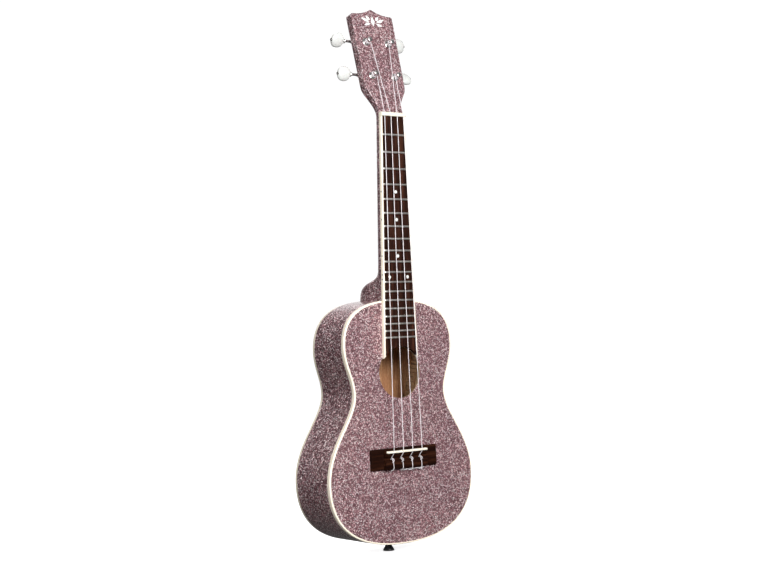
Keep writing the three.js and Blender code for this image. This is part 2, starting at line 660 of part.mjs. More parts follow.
function addTuners() {
  const shapes = { tuner_plate: plateShape(), post: postShape().add(gearShape()), worm: wormShape() };
  const places = POST_STATIONS.flatMap((station, row) =>
    [-1, 1].map((side) => ({ station, side, row: ['lower', 'upper'][row] })));
  places.forEach(({ station, side, row }, number) => {
    const tuner = new THREE.Group();
    tuner.position.set(side * POST_X, HEAD_THICKNESS, station);
    headFrame.add(tuner);
    const label = `${row}_${side < 0 ? 'left' : 'right'}`;
    const handed = (solid) => (side < 0 ? mirrored(toGeometry(solid)) : toGeometry(solid));
    for (const [piece, solid] of Object.entries(shapes)) {
      addPart(`${piece}_${label}`, handed(solid), steel, tuner);
    }
    const turn = THREE.MathUtils.degToRad(KNOB_TURNS[number]);
    addPart(`knob_${label}`, handed(knobShape(turn)), pearl, tuner);
  });
}

// ---------------------------------------------------------------- strings

// Each string runs from the tie block over the saddle and nut to the inner side of its post,
// the outer two to the lower posts, and winds round the post's waist.
function addStrings() {
  const sides = 6;
  const section = new THREE.Shape(circle(STRING_RADIUS, 0, 0, sides));
  const headTurn = new THREE.Euler(-HEAD_TILT, 0, 0);
  const headOrigin = headFrame.position;
  const windRadius = POST_WAIST.radius + SEAM + STRING_RADIUS + 0.1;
  STRING_SADDLE_X.forEach((saddleX, number) => {
    const nutX = STRING_NUT_X[number];
    const side = Math.sign(nutX);
    const station = POST_STATIONS[number === 0 || number === 3 ? 0 : 1];
    const at = (x, height, z) => new THREE.Vector3(x, FRONT_Y - height, z);
    const points = [
      at(saddleX, TIE_BLOCK.holeHeight, BRIDGE.bottom - 1),
      at(saddleX, TIE_BLOCK.holeHeight, TIE_BLOCK.top + 0.3),
      at(saddleX, TIE_BLOCK.holeHeight + 0.8, TIE_BLOCK.top + 1.6),
      at(saddleX, STRING_SADDLE_HEIGHT - 0.5, SADDLE_Z - 1.6),
      at(saddleX, STRING_SADDLE_HEIGHT, SADDLE_Z),
      at(nutX, STRING_NUT_HEIGHT, NUT_Z),
      at(nutX, STRING_NUT_HEIGHT - 0.05, NUT_Z + 1.2),
    ];
    const steps = Math.round(WINDING.turns * WINDING.steps);
    for (let i = 0; i <= steps; i += 1) {
      const angle = (2 * Math.PI * i) / WINDING.steps;
      const x = side * (POST_X - windRadius * Math.cos(angle));
      const height = WINDING.high + ((WINDING.low - WINDING.high) * i) / steps;
      const onPost = new THREE.Vector3(x, -height, station + windRadius * Math.sin(angle));
      points.push(onPost.applyEuler(headTurn).add(headOrigin));
    }
    const route = new Route(points);
    const tube = new THREE.ExtrudeGeometry(section, { steps: points.length - 1, extrudePath: route });
    addPart(`string_${number + 1}`, tube, nylon);
  });
}

addPlates();
addBindings();
addSides();
addLinings();
addBlocks();
addBraces();
addStrapButton();
addNeck();
addFretboard();
addFrets();
addNut();
addBridge();
addTuners();
addStrings();

export default ukulele;
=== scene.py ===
import math

import bpy
import bmesh
from mathutils import Matrix, Vector


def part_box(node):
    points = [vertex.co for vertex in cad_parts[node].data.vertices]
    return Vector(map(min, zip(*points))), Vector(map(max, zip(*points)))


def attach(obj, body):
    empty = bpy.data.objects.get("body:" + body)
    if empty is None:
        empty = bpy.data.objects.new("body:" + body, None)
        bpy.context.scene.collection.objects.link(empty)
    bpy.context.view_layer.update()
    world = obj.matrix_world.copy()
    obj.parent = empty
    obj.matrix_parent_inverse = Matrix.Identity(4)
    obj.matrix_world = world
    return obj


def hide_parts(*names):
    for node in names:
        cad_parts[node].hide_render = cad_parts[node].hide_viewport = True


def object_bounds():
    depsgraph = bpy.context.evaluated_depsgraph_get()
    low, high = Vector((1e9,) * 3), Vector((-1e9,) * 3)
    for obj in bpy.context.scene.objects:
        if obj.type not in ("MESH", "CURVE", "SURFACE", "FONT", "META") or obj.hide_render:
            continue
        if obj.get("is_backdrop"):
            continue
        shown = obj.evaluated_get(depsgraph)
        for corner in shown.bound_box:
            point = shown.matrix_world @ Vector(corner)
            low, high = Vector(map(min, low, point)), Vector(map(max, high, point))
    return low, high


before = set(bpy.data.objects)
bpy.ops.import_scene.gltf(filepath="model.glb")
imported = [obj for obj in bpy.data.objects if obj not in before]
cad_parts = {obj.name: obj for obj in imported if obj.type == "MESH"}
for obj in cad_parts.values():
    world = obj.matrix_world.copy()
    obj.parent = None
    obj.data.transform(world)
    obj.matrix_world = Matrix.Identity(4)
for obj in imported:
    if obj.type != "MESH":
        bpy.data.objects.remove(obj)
cad_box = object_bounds()

MM = 0.001  # the script works in millimetres, and its meshes are in metres


def span(node):
    """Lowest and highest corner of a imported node, in millimetres."""
    low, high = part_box(node)
    return low / MM, high / MM


# ---------------------------------------------------------------- dimensions

SEAM = 0.3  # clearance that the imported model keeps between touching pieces
SCALE_LENGTH = 378.0
FRET_COUNT = 19

BODY_LOW, BODY_HIGH = span("front_binding")
BODY_BOTTOM, BODY_TOP = BODY_LOW.z, BODY_HIGH.z
BODY_LENGTH = BODY_TOP - BODY_BOTTOM
FRONT_Y = BODY_LOW.y
LOWER_BOUT = (BODY_HIGH.x, 74.3)  # half width and height above the body's lower end
WAIST = (65.2, 171.1)
UPPER_BOUT = (77.8, 225.1)
OUTLINE_STEPS = 26
BACK_APEX_Y, BACK_APEX_Z, BACK_RADIUS, BACK_TAIL_RADIUS = 35.0, 107.0, 1250.0, 5000.0
PLATE = 2.0
SIDE = 1.8
BINDING = 2.0
FRONT_BINDING_DEPTH = 4.8
BACK_BINDING_DEPTH = 4.0
BINDING_ROUND = 1.1
LINING_OUTER = SIDE + SEAM
LINING_WIDTH = 5.5
LINING_DEPTH = 11.0
KERF_PITCH = 5.0
KERF = 1.2
BRACE_WIDTH, BRACE_HEIGHT = 8.0, 9.0

NUT_LOW, NUT_HIGH = span("nut")
NUT_Z = span("fretboard_binding_left")[1].z
HEAD_Z = NUT_HIGH.z + SEAM
SADDLE_LOW, SADDLE_HIGH = span("saddle")
SADDLE_Z = (SADDLE_LOW.z + SADDLE_HIGH.z) / 2
BRIDGE_LOW, BRIDGE_HIGH = span("bridge")
HOLE_Z = NUT_Z - 291.5
HOLE_RADIUS = 29.2

BOARD = 4.2
BOARD_Y = FRONT_Y - BOARD
BOARD_BINDING = 1.8
NUT_HALF = 17.2
BOARD_TAPER = 0.026

HEAD_TILT = math.radians(14)
HEAD_THICKNESS = 10.8
POST_X = 16.3
POST_STATIONS = {"lower": 44.2, "upper": 85.5}
POST_RADIUS = 2.9
POST_WAIST = 2.4
POST_REACH = 9.3
GEAR_TEETH, GEAR_PITCH, GEAR_ROOT, GEAR_TIP = 14, 4.7, 3.95, 5.2
GEAR_DEPTH, GEAR_HALF = 5.1, 1.2
WORM_PITCH, WORM_ROOT, WORM_TIP, WORM_HALF = 2.0, 1.35, 2.55, 3.1
WORM_LEAD = 2 * math.pi * GEAR_PITCH / GEAR_TEETH
WORM_OFFSET = GEAR_PITCH + WORM_PITCH
EAR_INNER, EAR_THICKNESS = 4.0, 1.2
KNOB_CENTRE, KNOB_LENGTH, KNOB_WIDTH, KNOB_THICKNESS = 27.9, 17.4, 17.0, 8.4
KNOB_TURNS = {
    "lower_left": 25, "lower_right": -20, "upper_left": 40, "upper_right": 15,
}
POST_END = 8.0  # the gear's end of a post, behind the head's back

STRING_RADIUS = 0.42
STRING_NUT_X = (-13.46, -4.49, 4.49, 13.46)
STRING_SADDLE_X = (-20.3, -6.77, 6.77, 20.3)
STRING_SADDLE_HEIGHT = 10.5  # centre of the string above the soundboard
STRING_NUT_HEIGHT = 6.3
TIE_TOP = BRIDGE_LOW.z + 10.5
TIE_HEIGHT = 8.0
TIE_HOLE_HEIGHT = 3.9


# ---------------------------------------------------------------- materials

class Shader:
    """A Principled material, with short ways to add and join its nodes."""

    def __init__(self, name, constants):
        self.material = bpy.data.materials.new(name)
        self.material.use_nodes = True
        self.tree = self.material.node_tree
        self.surface = self.tree.nodes["Principled BSDF"]
        for socket, value in constants.items():
            self.surface.inputs[socket].default_value = value

    def put(self, node, socket, value):
        if isinstance(value, bpy.types.NodeSocket):
            self.tree.links.new(value, node.inputs[socket])
        else:
            node.inputs[socket].default_value = value

    def node(self, kind, inputs, **settings):
        node = self.tree.nodes.new("ShaderNode" + kind)
        for setting, value in settings.items():
            setattr(node, setting, value)
        for socket, value in inputs.items():
            self.put(node, socket, value)
        return node

    def set(self, socket, value):
        self.put(self.surface, socket, value)

    def place(self, stretch=(1, 1, 1), offset=(0, 0, 0)):
        """Object coordinates in millimetres, stretched along each axis."""
        where = self.tree.nodes.new("ShaderNodeTexCoord").outputs["Object"]
        scale = [factor / MM for factor in stretch]
        node = self.node("Mapping", {"Vector": where, "Scale": scale, "Location": offset})
        return node.outputs["Vector"]

    def noise(self, where, scale, detail=4, roughness=0.5, distortion=0.0):
        inputs = {
            "Vector": where, "Scale": scale, "Detail": detail,
            "Roughness": roughness, "Distortion": distortion,
        }
        return self.node("TexNoise", inputs).outputs["Fac"]

    def ramp(self, factor, stops):
        node = self.node("ValToRGB", {"Fac": factor})
        elements = node.color_ramp.elements
        while len(elements) < len(stops):
            elements.new(0.5)
        for element, (position, colour) in zip(elements, stops):
            element.position = position
            element.color = (*colour, 1)
        return node.outputs["Color"]

    def mix(self, factor, first, second, blend="MIX"):
        node = self.tree.nodes.new("ShaderNodeMix")
        node.data_type = "RGBA"
        node.blend_type = blend
        self.put(node, 0, factor)
        self.put(node, 6, first)
        self.put(node, 7, second)
        return node.outputs[2]

    def stretch(self, value, low, high, to_low, to_high):
        inputs = {
            "Value": value, "From Min": low, "From Max": high,
            "To Min": to_low, "To Max": to_high,
        }
        return self.node("MapRange", inputs).outputs["Result"]

    def bump(self, height, depth, strength=1.0, normal=None):
        inputs = {"Height": height, "Distance": depth * MM, "Strength": strength}
        if normal is not None:
            inputs["Normal"] = normal
        return self.node("Bump", inputs).outputs["Normal"]


def glitter_lacquer():
    """Metal flakes of many tints and leanings in a clear lacquer; the brightest flakes are painted glints.
    """
    shader = Shader("glitter_lacquer", {
        "Coat Weight": 1.0, "Coat Roughness": 0.035, "Coat IOR": 1.5, "Specular IOR Level": 0.2,
        "Coat Tint": (1.0, 0.96, 0.96, 1),
    })
    where = shader.place()
    tints = []
    leanings = []
    for size in (1.0, 0.55):
        flakes = shader.node("TexVoronoi", {"Vector": where, "Scale": 1 / size, "Randomness": 1.0})
        leanings.append(flakes.outputs["Color"])
        tints.append(shader.node("SeparateColor", {"Color": flakes.outputs["Color"]}).outputs)
    # The dark and pink stops are the flakes' own tints; the near-white top stops are painted glints, the
    # sparkle of flakes catching the lamps, put into the base colour.
    large_flakes_and_glints = shader.ramp(tints[0]["Red"], [
        (0.0, (0.070, 0.029, 0.034)), (0.50, (0.150, 0.072, 0.081)), (0.70, (0.400, 0.215, 0.232)),
        (0.79, (0.940, 0.600, 0.620)), (0.86, (1.0, 0.84, 0.84)), (1.0, (1.0, 0.95, 0.94)),
    ])
    small_flakes_and_glints = shader.ramp(tints[1]["Red"], [
        (0.0, (0.105, 0.045, 0.052)), (0.60, (0.230, 0.115, 0.128)), (0.85, (0.800, 0.520, 0.545)),
        (1.0, (1.0, 0.90, 0.89)),
    ])
    colour = shader.mix(0.18, large_flakes_and_glints, small_flakes_and_glints)
    clouds = shader.noise(where, 0.02, detail=2)
    shade = shader.ramp(clouds, [(0.3, (0.88, 0.87, 0.90)), (0.7, (1.0, 1.0, 1.0))])
    shader.set("Base Color", shader.mix(1.0, colour, shade, "MULTIPLY"))
    shader.set("Metallic", shader.stretch(tints[0]["Green"], 0, 1, 0.2, 0.6))
    shader.set("Roughness", shader.stretch(tints[1]["Blue"], 0, 1, 0.28, 0.42))
    lean = shader.mix(0.5, leanings[0], leanings[1])
    centred = shader.node("VectorMath", {0: lean, 1: (0.5, 0.5, 0.5)}, operation="SUBTRACT")
    scaled = shader.node("VectorMath", {0: centred.outputs[0], 3: 1.5}, operation="SCALE")
    normal = shader.tree.nodes.new("ShaderNodeNewGeometry").outputs["Normal"]
    summed = shader.node("VectorMath", {0: normal, 1: scaled.outputs[0]}, operation="ADD")
    tilted = shader.node("VectorMath", {0: summed.outputs[0]}, operation="NORMALIZE")
    shader.set("Normal", tilted.outputs[0])
    ripple = shader.noise(where, 0.07, detail=1)
    shader.set("Coat Normal", shader.bump(ripple, 0.12, 0.25))
    return shader.material


def wood(name, tones, along, grain=0.55, gloss=0.5, shine=0.35, pore_depth=0.05):
    """Streaked wood: tones run dark to light, and its grain runs along one axis."""
    shader = Shader(name, {"Specular IOR Level": shine})
    long_way = [0.035 if axis == along else 1.0 for axis in "xyz"]
    figure = shader.noise(shader.place(long_way), grain, detail=7, roughness=0.62, distortion=0.5)
    dark, middle, light = tones
    colour = shader.ramp(figure, [(0.30, dark), (0.50, middle), (0.70, light)])
    pores = shader.noise(shader.place(long_way, (3, 5, 7)), 3.4, detail=3, roughness=0.7)
    shade = shader.ramp(pores, [(0.34, (0.42, 0.40, 0.38)), (0.52, (1.0, 1.0, 1.0))])
    shader.set("Base Color", shader.mix(1.0, colour, shade, "MULTIPLY"))
    shader.set("Roughness", shader.stretch(pores, 0.3, 0.7, gloss + 0.12, gloss - 0.08))
    shader.set("Normal", shader.bump(pores, pore_depth, 0.6))
    return shader.material


def smooth_cream(name, tones, gloss, coat):
    """Binding plastic or bone: faint clouds, fine streaks and a polished skin."""
    shader = Shader(name, {
        "Coat Weight": coat, "Coat Roughness": 0.06,
    })
    clouds = shader.noise(shader.place((1, 1, 0.25)), 0.25, detail=5)
    specks = shader.noise(shader.place((1, 1, 0.1), (9, 2, 4)), 5.0, detail=2)
    colour = shader.ramp(clouds, [(0.3, tones[0]), (0.7, tones[1])])
    fine = shader.ramp(specks, [(0.35, (0.93, 0.91, 0.87)), (0.55, (1.0, 1.0, 1.0))])
    shader.set("Base Color", shader.mix(1.0, colour, fine, "MULTIPLY"))
    shader.set("Roughness", shader.stretch(specks, 0.3, 0.7, gloss - 0.06, gloss + 0.08))
    shader.set("Normal", shader.bump(specks, 0.01, 0.4))
    return shader.material


def metal(name, colour, gloss, brushed=(1, 1, 1)):
    """Plated metal with faint brushing, a bloom of handling and tiny scratches."""
    shader = Shader(name, {})
    bloom = shader.noise(shader.place(), 0.45, detail=4)
    scratches = shader.noise(shader.place(brushed, (2, 8, 5)), 6.0, detail=4, roughness=0.7)
    dull = tuple(0.78 * channel for channel in colour)
    shader.set("Base Color", shader.ramp(bloom, [(0.32, dull), (0.62, colour)]))
    shader.set("Metallic", 1.0)
    rough = shader.mix(0.5, bloom, scratches)
    shader.set("Roughness", shader.stretch(rough, 0.3, 0.7, gloss - 0.05, gloss + 0.14))
    shader.set("Normal", shader.bump(scratches, 0.006, 0.35))
    return shader.material


def pearloid(name, level=1.0):
    """Swirled pearl plastic: milky folds with faint pink and green lustre."""
    shader = Shader(name, {
        "Coat Weight": 0.5, "Coat Roughness": 0.08,
    })
    where = shader.place()
    warp = shader.node("TexNoise", {"Vector": where, "Scale": 0.16, "Detail": 3.0})
    bent = shader.node("VectorMath", {0: warp.outputs["Color"], 3: 14.0}, operation="SCALE")
    moved = shader.node("VectorMath", {0: where, 1: bent.outputs[0]}, operation="ADD")
    folds = shader.noise(moved.outputs[0], 0.42, detail=3, roughness=0.45)
    tones = (
        (0.28, (0.70, 0.71, 0.67)), (0.42, (0.90, 0.90, 0.86)), (0.50, (0.80, 0.85, 0.83)),
        (0.58, (0.95, 0.94, 0.91)), (0.72, (0.88, 0.82, 0.81)),
    )
    shader.set("Base Color", shader.ramp(
        folds, [(at, tuple(level * channel for channel in tone)) for at, tone in tones]))
    shader.set("Roughness", shader.stretch(folds, 0.3, 0.7, 0.34, 0.18))
    shader.set("Metallic", shader.stretch(folds, 0.4, 0.6, 0.0, 0.1))
    shader.set("Normal", shader.bump(folds, 0.05, 0.3))
    return shader.material


def strand_nylon():
    """Clear nylon string with faint drawn streaks."""
    shader = Shader("nylon", {
        "Coat Weight": 0.3, "Coat Roughness": 0.15,
    })
    streaks = shader.noise(shader.place((1, 1, 0.05)), 1.4, detail=3)
    shader.set("Base Color", shader.ramp(streaks, [
        (0.3, (0.56, 0.53, 0.55)), (0.7, (0.74, 0.70, 0.72)),
    ]))
    shader.set("Roughness", shader.stretch(streaks, 0.3, 0.7, 0.22, 0.38))
    shader.set("Normal", shader.bump(streaks, 0.01, 0.3))
    return shader.material


def moulded_black(name):
    """Worn black plastic with a fine moulded grain."""
    shader = Shader(name, {"Coat Weight": 0.3, "Coat Roughness": 0.15})
    grain = shader.noise(shader.place(), 4.0, detail=4)
    wear = shader.noise(shader.place(), 0.5, detail=3)
    tones = [(0.35, (0.018, 0.019, 0.020)), (0.7, (0.040, 0.041, 0.043))]
    shader.set("Base Color", shader.ramp(wear, tones))
    shader.set("Roughness", shader.stretch(wear, 0.3, 0.7, 0.24, 0.42))
    shader.set("Normal", shader.bump(grain, 0.02, 0.4))
    return shader.material


GLITTER = glitter_lacquer()
CREAM = smooth_cream("cream_binding", ((0.84, 0.75, 0.61), (0.92, 0.85, 0.73)), 0.28, 0.6)
BONE = smooth_cream("bone", ((0.80, 0.74, 0.60), (0.91, 0.87, 0.76)), 0.3, 0.3)
BOARD_WOOD = wood(
    "rosewood_board", ((0.004, 0.0012, 0.001), (0.020, 0.0062, 0.0035), (0.076, 0.027, 0.015)),
    "z", 0.36, 0.65, 0.06)
BRIDGE_WOOD = wood(
    "rosewood_bridge", ((0.003, 0.001, 0.001), (0.015, 0.0042, 0.002), (0.060, 0.021, 0.010)),
    "x", 0.3, 0.65, 0.03)
BACK_WOOD = wood(
    "mahogany_inside", ((0.27, 0.110, 0.050), (0.45, 0.215, 0.100), (0.62, 0.350, 0.180)), "z", 0.35, 0.7)
TAN_WOOD = wood(
    "maple_inside", ((0.48, 0.310, 0.165), (0.62, 0.430, 0.250), (0.72, 0.530, 0.330)), "z", 0.3, 0.7)
LINING_WOOD = wood(
    "lining_wood", ((0.32, 0.175, 0.088), (0.46, 0.270, 0.140), (0.58, 0.360, 0.200)), "y", 0.6, 0.7)
EDGE_WOOD = wood(
    "plate_edge", ((0.20, 0.125, 0.070), (0.30, 0.200, 0.120), (0.40, 0.290, 0.190)), "x", 0.8, 0.5)
SPRUCE = wood(
    "brace_spruce", ((0.52, 0.36, 0.19), (0.64, 0.47, 0.27), (0.72, 0.56, 0.36)), "x", 0.9, 0.65)
STEEL = metal("tuner_steel", (0.86, 0.85, 0.83), 0.24)
DARK_STEEL = metal("screw_steel", (0.34, 0.32, 0.31), 0.26)
FRET_WIRE = metal("fret_wire", (0.90, 0.88, 0.84), 0.36, (0.1, 1, 1))
PEARL = pearloid("pearl", 0.85)
# The buttons are the inlays' white pearl, darkened to 0.72 as painted shade to hold back the lamps' glare
# on them.
SHADED_BUTTON_PEARL = pearloid("pearl_button_painted_shade", 0.72)
NYLON = strand_nylon()
BLACK = moulded_black("black_plastic")


# ---------------------------------------------------------------- shape helpers

def loft(rings, look=0, loop=False, capped=True):
    """Quads between rings of equal point counts, as (points, faces, looks)."""
    count = len(rings[0])
    points = [point for ring in rings for point in ring]
    look_of = look if callable(look) else lambda row, column: look
    faces = []
    looks = []
    rows = len(rings) if loop else len(rings) - 1
    for row in range(rows):
        here, there = row * count, (row + 1) % len(rings) * count
        for column in range(count):
            after = (column + 1) % count
            faces.append((here + column, here + after, there + after, there + column))
            looks.append(look_of(row, column))
    if capped and not loop:
        last = (len(rings) - 1) * count
        faces.append(tuple(range(count - 1, -1, -1)))
        faces.append(tuple(range(last, last + count)))
        looks += [look_of(0, 0), look_of(rows - 1, 0)]
    return points, faces, looks


def lathe(profile, place, segments=48, loop=False, look=0):
    """Turns a (radius, height) profile; place maps (across, across, along) to the part."""
    rings = []
    for radius, height in profile:
        turns = [2 * math.pi * i / segments for i in range(segments)]
        rings.append([place(radius * math.cos(a), radius * math.sin(a), height) for a in turns])
    return loft(rings, look, loop, capped=False)


def tube(route, radius, sides=10):
    """A round strand along a route, with softened ends."""
    route = [Vector(point) for point in route]
    last = len(route) - 1
    rings = []
    side = None
    for i, point in enumerate(route):
        ahead = (route[min(i + 1, last)] - route[max(i - 1, 0)]).normalized()
        side = ahead.orthogonal() if side is None else side - ahead * side.dot(ahead)
        side.normalize()
        up = ahead.cross(side)
        ring = [
            point + (side * math.cos(a) + up * math.sin(a)) * radius
            for a in (2 * math.pi * k / sides for k in range(sides))
        ]
        if i == 0:
            rings.append([point.lerp(p, 0.6) - ahead * radius * 0.5 for p in ring])
        rings.append(ring)
        if i == last:
            rings.append([point.lerp(p, 0.6) + ahead * radius * 0.5 for p in ring])
    return loft(rings)


def smooth_route(points, steps=6):
    """A Catmull-Rom curve through points of any dimension."""
    points = [Vector(point) for point in points]
    padded = [2 * points[0] - points[1], *points, 2 * points[-1] - points[-2]]
    route = []
    for before, start, end, after in zip(padded, padded[1:], padded[2:], padded[3:]):
        for i in range(steps):
            t = i / steps
            route.append(0.5 * (
                2 * start + (end - before) * t + (2 * before - 5 * start + 4 * end - after) * t ** 2
                + (3 * start - before - 3 * end + after) * t ** 3
            ))
    return [*route, points[-1]]


def rounded(corners, radius, steps=4):
    """A closed outline of 2-D corners, each one rounded."""
    corners = [Vector(corner) for corner in corners]
    outline = []
    for i, corner in enumerate(corners):
        before, after = corners[i - 1], corners[(i + 1) % len(corners)]
        reach = min(radius, (before - corner).length / 2.01, (after - corner).length / 2.01)
        start = corner + (before - corner).normalized() * reach
        end = corner + (after - corner).normalized() * reach
        for k in range(steps + 1):
            t = k / steps
            outline.append(start * (1 - t) ** 2 + corner * 2 * t * (1 - t) + end * t ** 2)
    return outline


def slab(outline, place, low, high, bevel=0.3, look=0):
    """A flat outline given thickness from low to high, with its two rims eased."""
    middle = sum(outline, Vector((0, 0))) / len(outline)
    rings = []
    for inset, level in ((bevel, low), (0, low + bevel), (0, high - bevel), (bevel, high)):
        ring = []
        for i, point in enumerate(outline):
            along = (outline[(i + 1) % len(outline)] - outline[i - 1]).normalized()
            inward = Vector((-along.y, along.x))
            if inward.dot(middle - point) < 0:
                inward = -inward
            moved = point + inward * inset
            ring.append(place(moved.x, moved.y, level))
        rings.append(ring)
    return loft(rings, look)


def add_piece(name, parts, materials, body="instrument", stands_for=(), crease=38, bevel=0):
    """One object made of closed surfaces; each face's look picks its material."""
    points, faces, looks = [], [], []
    for part_points, part_faces, part_looks in parts:
        start = len(points)
        points += [Vector(point) * MM for point in part_points]
        faces += [[start + i for i in face] for face in part_faces]
        looks += part_looks
    mesh = bpy.data.meshes.new(name)
    mesh.from_pydata(points, [], faces)
    for material in materials:
        mesh.materials.append(material)
    mesh.polygons.foreach_set("material_index", looks)
    tidy = bmesh.new()
    tidy.from_mesh(mesh)
    bmesh.ops.remove_doubles(tidy, verts=tidy.verts, dist=1e-7)
    bmesh.ops.recalc_face_normals(tidy, faces=tidy.faces)
    if bevel:
        sharp = [e for e in tidy.edges if e.is_manifold and e.calc_face_angle() > math.radians(crease)]
        bmesh.ops.bevel(tidy, geom=sharp, offset=bevel * MM, segments=2, affect="EDGES", profile=0.5)
    for face in tidy.faces:
        face.smooth = True
    tidy.to_mesh(mesh)
    tidy.free()
    mesh.set_sharp_from_angle(angle=math.radians(crease))
    piece = bpy.data.objects.new(name, mesh)
    bpy.context.scene.collection.objects.link(piece)
    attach(piece, body)
    if stands_for:
        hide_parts(*stands_for)
    return piece


def carve(piece, parts):
    """Cuts closed surfaces out of a piece."""
    tool = add_piece(piece.name + "_cut", parts, list(piece.data.materials)[:1])
    bpy.context.view_layer.update()
    cut = piece.modifiers.new("cut", "BOOLEAN")
    cut.operation = "DIFFERENCE"
    cut.solver = "EXACT"
    cut.object = tool
    graph = bpy.context.evaluated_depsgraph_get()
    mesh = bpy.data.meshes.new_from_object(piece.evaluated_get(graph))
    piece.modifiers.clear()
    piece.data = mesh
    bpy.data.objects.remove(tool)


# ---------------------------------------------------------------- body outline

def body_curves():
    (lower, lower_z), (waist, waist_z), (upper, upper_z) = LOWER_BOUT, WAIST, UPPER_BOUT
    corners = [
        [(0, 0), (31.2, 0), (lower, lower_z - 70), (lower, lower_z)],
        [(lower, lower_z), (lower, lower_z + 43), (waist, waist_z - 26.4), (waist, waist_z)],
        [(waist, waist_z), (waist, waist_z + 17.7), (upper, upper_z - 21.1), (upper, upper_z)],
        [(upper, upper_z), (upper, upper_z + 31.4), (59.8, BODY_LENGTH), (0, BODY_LENGTH)],
    ]
    lift = Vector((0, BODY_BOTTOM))
    return [[Vector(corner) + lift for corner in curve] for curve in corners]


def bezier(curve, t):
    """Place and unit tangent at t on a cubic curve."""
    a, b, c, d = curve
    u = 1 - t
    place = a * u ** 3 + b * 3 * u * u * t + c * 3 * u * t * t + d * t ** 3
    along = (b - a) * u * u + (c - b) * 2 * u * t + (d - c) * t * t
    return place, along.normalized()


def half_outline(inset):
    """The right half of the outline from tail to neck, as (x, z), moved inwards."""
    points = []
    for number, curve in enumerate(body_curves()):
        for i in range(0 if number == 0 else 1, OUTLINE_STEPS + 1):
            place, along = bezier(curve, i / OUTLINE_STEPS)
            points.append(place + Vector((-along.y, along.x)) * inset)
    points[0].x = points[-1].x = 0
    return points


def outline(inset):
    half = half_outline(inset)
    left = [Vector((-p.x, p.y)) for p in reversed(half[1:-1])]
    return half + left


def front(offset):
    return lambda z: FRONT_Y + offset


def back(offset):
    def level(z):
        radius = BACK_RADIUS if z > BACK_APEX_Z else BACK_TAIL_RADIUS
        sag = radius - math.sqrt(radius ** 2 - (z - BACK_APEX_Z) ** 2)
        return BACK_APEX_Y - sag - offset
    return level


def body_ring(inset, level):
    return [Vector((p.x, level(p.y), p.y)) for p in outline(inset)]


def half_width(z, inset):
    """Half the width of the inset outline at a height."""
    half = half_outline(inset)
    for low, high in zip(half, half[1:]):
        if low.y <= z <= high.y:
            return low.x + (high.x - low.x) * (z - low.y) / max(high.y - low.y, 1e-9)
    return 0.0


def end_height(x, inset, upper):
    """Height of the inset outline's upper or lower end at a distance from the centre line."""
    half = half_outline(inset)
    near = half[::-1] if upper else half
    for inner, outer in zip(near, near[1:]):
        if inner.x <= abs(x) <= outer.x:
            return inner.y + (outer.y - inner.y) * (abs(x) - inner.x) / max(outer.x - inner.x, 1e-9)
    return near[0].y


def toward_hole(ring, share, radius, level):
    """The ring's points moved towards a circle round the sound hole's centre."""
    moved = []
    for point in ring:
        angle = math.atan2(point.z - HOLE_Z, point.x)
        on_circle = Vector((radius * math.cos(angle), 0, HOLE_Z + radius * math.sin(angle)))
        place = on_circle.lerp(Vector((point.x, 0, point.z)), share)
        moved.append(Vector((place.x, level(place.z), place.z)))
    return moved


# ---------------------------------------------------------------- body pieces

def make_soundboard():
    edge = body_ring(BINDING, front(0))
    rows = 12
    ease = 0.45
    rings = [body_ring(BINDING, front(PLATE)), edge]
    rings += [toward_hole(edge, 1 - i / rows, HOLE_RADIUS + ease, front(0)) for i in range(1, rows + 1)]
    for turn in (30, 60, 90):
        angle = math.radians(turn)
        radius = HOLE_RADIUS + ease * (1 - math.sin(angle))
        rings.append(toward_hole(edge, 0, radius, front(ease * (1 - math.cos(angle)))))
    rings.append(toward_hole(edge, 0, HOLE_RADIUS, front(PLATE)))
    rings += [toward_hole(edge, i / rows, HOLE_RADIUS, front(PLATE)) for i in range(1, rows)]

    def look(row, column):
        if row <= rows + 1:
            return 0
        return 1 if row <= rows + 4 else 2
    add_piece(
        "soundboard_glitter", [loft(rings, look, loop=True)], [GLITTER, EDGE_WOOD, SPRUCE],
        stands_for=["soundboard"])


def make_back():
    edge = body_ring(BINDING, back(0))
    rows = 14
    outside = [toward_hole(edge, i / rows, 0, back(0)) for i in range(rows + 1)]
    inside = [toward_hole(edge, i / rows, 0, back(PLATE)) for i in range(rows, -1, -1)]
    skin = loft(outside + inside, lambda row, column: 0 if row <= rows else 1, capped=False)
    add_piece("back_glitter", [skin], [GLITTER, BACK_WOOD], stands_for=["back_plate"])


def rim_section(depth):
    """A binding's section as (inset, offset), rounded at its outer corner."""
    arc = []
    for i in range(6):
        angle = math.radians(18 * i)
        arc.append((BINDING_ROUND * (1 - math.cos(angle)), BINDING_ROUND * (1 - math.sin(angle))))
    return [(0, depth), *arc, (BINDING, 0), (BINDING, depth)]


def make_bindings():
    for name, level, depth in (("front", front, FRONT_BINDING_DEPTH), ("back", back, BACK_BINDING_DEPTH)):
        rings = [body_ring(inset, level(offset)) for inset, offset in rim_section(depth)]
        add_piece(
            f"{name}_binding_strip", [loft(rings, loop=True)], [CREAM],
            stands_for=[f"{name}_binding"])


def make_sides():
    outer, inner = half_outline(0), half_outline(SIDE)
    top, bottom = front(FRONT_BINDING_DEPTH), back(BACK_BINDING_DEPTH)
    for label, side in (("left", -1), ("right", 1)):
        sections = []
        for out, within in zip(outer, inner):
            section = []
            for share in (0, 0.25, 0.5, 0.75, 1):
                y = top(out.y) + (bottom(out.y) - top(out.y)) * share
                section.append(Vector((side * out.x, y, out.y)))
            for share in (1, 0.75, 0.5, 0.25, 0):
                y = top(within.y) + (bottom(within.y) - top(within.y)) * share
                section.append(Vector((side * within.x, y, within.y)))
            sections.append(section)
        wall = loft(sections, lambda row, column: 0 if column < 4 else 1)
        add_piece(
            f"side_{label}_glitter", [wall], [GLITTER, TAN_WOOD],
            stands_for=[f"side_{label}"])


